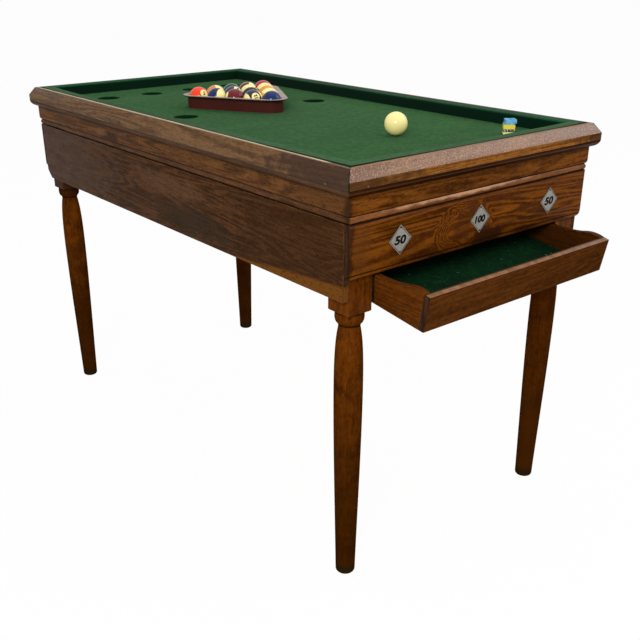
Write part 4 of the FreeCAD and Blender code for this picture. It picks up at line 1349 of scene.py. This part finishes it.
# %% [markdown]
# Fifteen balls lie in five rows, each row one ball longer than the last. The numbers from nine up have
# a stripe. Where the rack hides a ball's number, its turn is free. The cue ball lies by itself,
# and has no number and no stripe.

# %% Balls in the rack, and the cue ball
PITCH = 48.3 * MM
rack_middle = mid("racked_balls")
apex = Vector((rack_middle.x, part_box("racked_balls")[0].y + BALL, rack_middle.z))
racked = {
    (0, 0): (2, "blue", LOW, None),
    (1, 0): (12, "purple", (0.28, 0.34, 0.9), (-0.85, -0.3, 0.42)),
    (1, 1): (9, "yellow", (1.0, -0.1, 0.0), (0.1, 0.97, 0.2)),
    (2, 0): (7, "maroon", (-0.88, 0.35, 0.3), None),
    (2, 1): (8, "black", LOW, None),
    (2, 2): (1, "yellow", LOW, None),
    (3, 0): (10, "blue", (0.05, -0.93, 0.3), (0.85, 0.1, 0.5)),
    (3, 1): (4, "purple", (0.5, 0.72, 0.48), None),
    (3, 2): (11, "red", (0.9, 0.0, 0.1), (-0.3, 0.9, 0.25)),
    (3, 3): (14, "green", (1.0, 0.0, 0.0), (0, 0.9, 0.3)),
    (4, 0): (5, "orange", (0.6, 0.37, 0.71), None),
    (4, 1): (13, "amber", (0.5, -0.8, 0.3), (0.8, 0.6, 0.05)),
    (4, 2): (6, "green", LOW, None),
    (4, 3): (15, "brown", (0.3, -0.9, 0.2), (0.9, 0.3, 0.3)),
    (4, 4): (3, "red", LOW, None),
}
for (row, i), (number, shade, spot, pole) in racked.items():
    place = apex + Vector(((i - row / 2) * PITCH, row * PITCH * math.sqrt(3) / 2, 0))
    piece = ball("pool_ball_%d" % number, place, shade, number > 8, number, spot, pole)
    stands_in(piece, "racked_balls", "table")
stands_in(ball("cue_ball_cream", mid("cue_ball")), "cue_ball", "cue_ball")
print("balls:", len(racked) + 1)

# %% [markdown]
# The chalk is a pressed blue cube, worn hollow, on top of a whole one that still has its paper label.
# Both are construction pieces with softened edges. A real worn edge crumbles, so the dust in the
# finish is bumpy and matt. The label is banded by height, because that is how it is printed.

# %% Chalk
def chalky(name, light, dark):
    """Pressed chalk with a crumbly surface."""
    f = Finish(name)
    crumb = f.noise(f.place, 420.0, 4.0, 0.7)
    patch = f.ramp(f.noise(f.place, 120.0, 3.0, 0.6), 0.3, 0.7)
    f.set(Base_Color=f.mix(patch, tint(*dark), tint(*light)), Roughness=f.ramp(crumb, 0.3, 0.7, 0.85, 1.0))
    f.set(Normal=f.bump(crumb, 0.5, 0.0006))
    return f


blue_chalk = chalky("blue_chalk", (116, 182, 214), (44, 118, 168))
chalk_edge = chalky("blue_chalk_edge", (166, 212, 222), (104, 172, 206))
label_low, label_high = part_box("chalk_label")
label = Finish("chalk_label_paper")
part = label.maths("SUBTRACT", label.axes()[2], label_low.z)
part = label.maths("DIVIDE", part, label_high.z - label_low.z)
fleck = label.noise(label.place, 260.0, 3.0, 0.6)
banded = label.mix(label.ramp(part, 0.20, 0.23), tint(232, 226, 140), tint(30, 30, 34))
tick = label.noise(label.mapped((1, 1, 0.5)), 520.0, 1.0, 0.5)
tick = label.maths("MULTIPLY", label.ramp(tick, 0.52, 0.58), label.ramp(part, 0.26, 0.30))
banded = label.paint(banded, tick, (226, 222, 190), 0.7)
banded = label.paint(banded, label.ramp(part, 0.52, 0.55), (226, 204, 30))
banded = label.paint(banded, label.ramp(fleck, 0.45, 0.8, 0.0, 0.25), (240, 236, 200))
label.set(Base_Color=banded, Roughness=label.ramp(fleck, 0.3, 0.7, 0.45, 0.6))
label.set(Normal=label.bump(fleck, 0.1, 0.0002))
eased("chalk_lower", "chalk_whole", "table", blue_chalk, blue_chalk, 0.5)
eased("chalk_upper", "chalk_worn", "table", blue_chalk, chalk_edge, 1.6)
eased("chalk_label", "chalk_paper_label", "table", label, label, 0.12)
print("chalk label %.1f mm high" % ((label_high.z - label_low.z) / MM))

# %% [markdown]
# The floor is a wide pale plane under an even sky. What is seen of floor and sky is nearly white, so the
# table stands clear, and only a faint shadow holds it to the ground. That white is for the eye alone:
# the light that falls on the table comes from a dimmer sky, so the colours don't wash out.

# %% Floor and sky
FLOOR_PLACE = (0, 0, -0.5 * MM)
WHITE = (1, 1, 1, 1)
VEIL = 0.96
SKY_LIGHT = 0.54

deselect()
bpy.ops.mesh.primitive_plane_add(size=70, location=FLOOR_PLACE)
floor = added("studio_floor")
floor_paint = Finish("studio_floor_paint")
speck = floor_paint.noise(floor_paint.place, 6.0, 3.0, 0.5)
floor_paint.set(Base_Color=floor_paint.mix(speck, tint(236, 236, 234), tint(242, 242, 240)), Roughness=0.9)
white = floor_paint.add("ShaderNodeEmission", {"Color": WHITE, "Strength": 1.0}).outputs[0]
seen = floor_paint.maths("MULTIPLY", floor_paint.seen(), VEIL)
veil = floor_paint.add("ShaderNodeMixShader", {0: seen, 1: floor_paint.shader.outputs[0], 2: white})
floor_paint.put(floor_paint.tree.nodes["Material Output"].inputs["Surface"], veil.outputs[0])
wear(floor, floor_paint)

world = bpy.data.worlds.new("studio_sky")
bpy.context.scene.world = world
world.use_nodes = True
sky = Network(world.node_tree)
background = world.node_tree.nodes["Background"]
background.inputs["Color"].default_value = WHITE
sky.put(background.inputs["Strength"], sky.ramp(sky.seen(), 0.0, 1.0, SKY_LIGHT, 1.0))
print("sky light %.2f" % SKY_LIGHT)

# %% [markdown]
# The lamps are large and soft: one overhead, one on the right, and a smaller, stronger one on the left
# that brings out the long side. Point lamps would draw hard shadows of the cushions on the cloth.

# %% Lamps
def lamp(name, place, aim, size, power):
    """A square lamp that looks at a point."""
    data = bpy.data.lights.new(name, "AREA")
    data.shape = "RECTANGLE"
    data.size = data.size_y = size
    data.energy = power
    light = bpy.data.objects.new(name, data)
    bpy.context.scene.collection.objects.link(light)
    light.location = place
    light.rotation_euler = (Vector(aim) - Vector(place)).to_track_quat("-Z", "Y").to_euler()
    print("%s: %.0f W" % (name, power))


lamp("overhead_lamp", (0.2, 0.1, 3.2), (0, 0, 0.8), 2.4, 12)
lamp("right_lamp", (2.6, -1.6, 2.9), (0, 0, 0.7), 2.2, 40)
lamp("left_lamp", (-2.4, -2.2, 2.3), (0, 0, 0.7), 1.0, 85)
bpy.context.scene.view_settings.view_transform = "Standard"
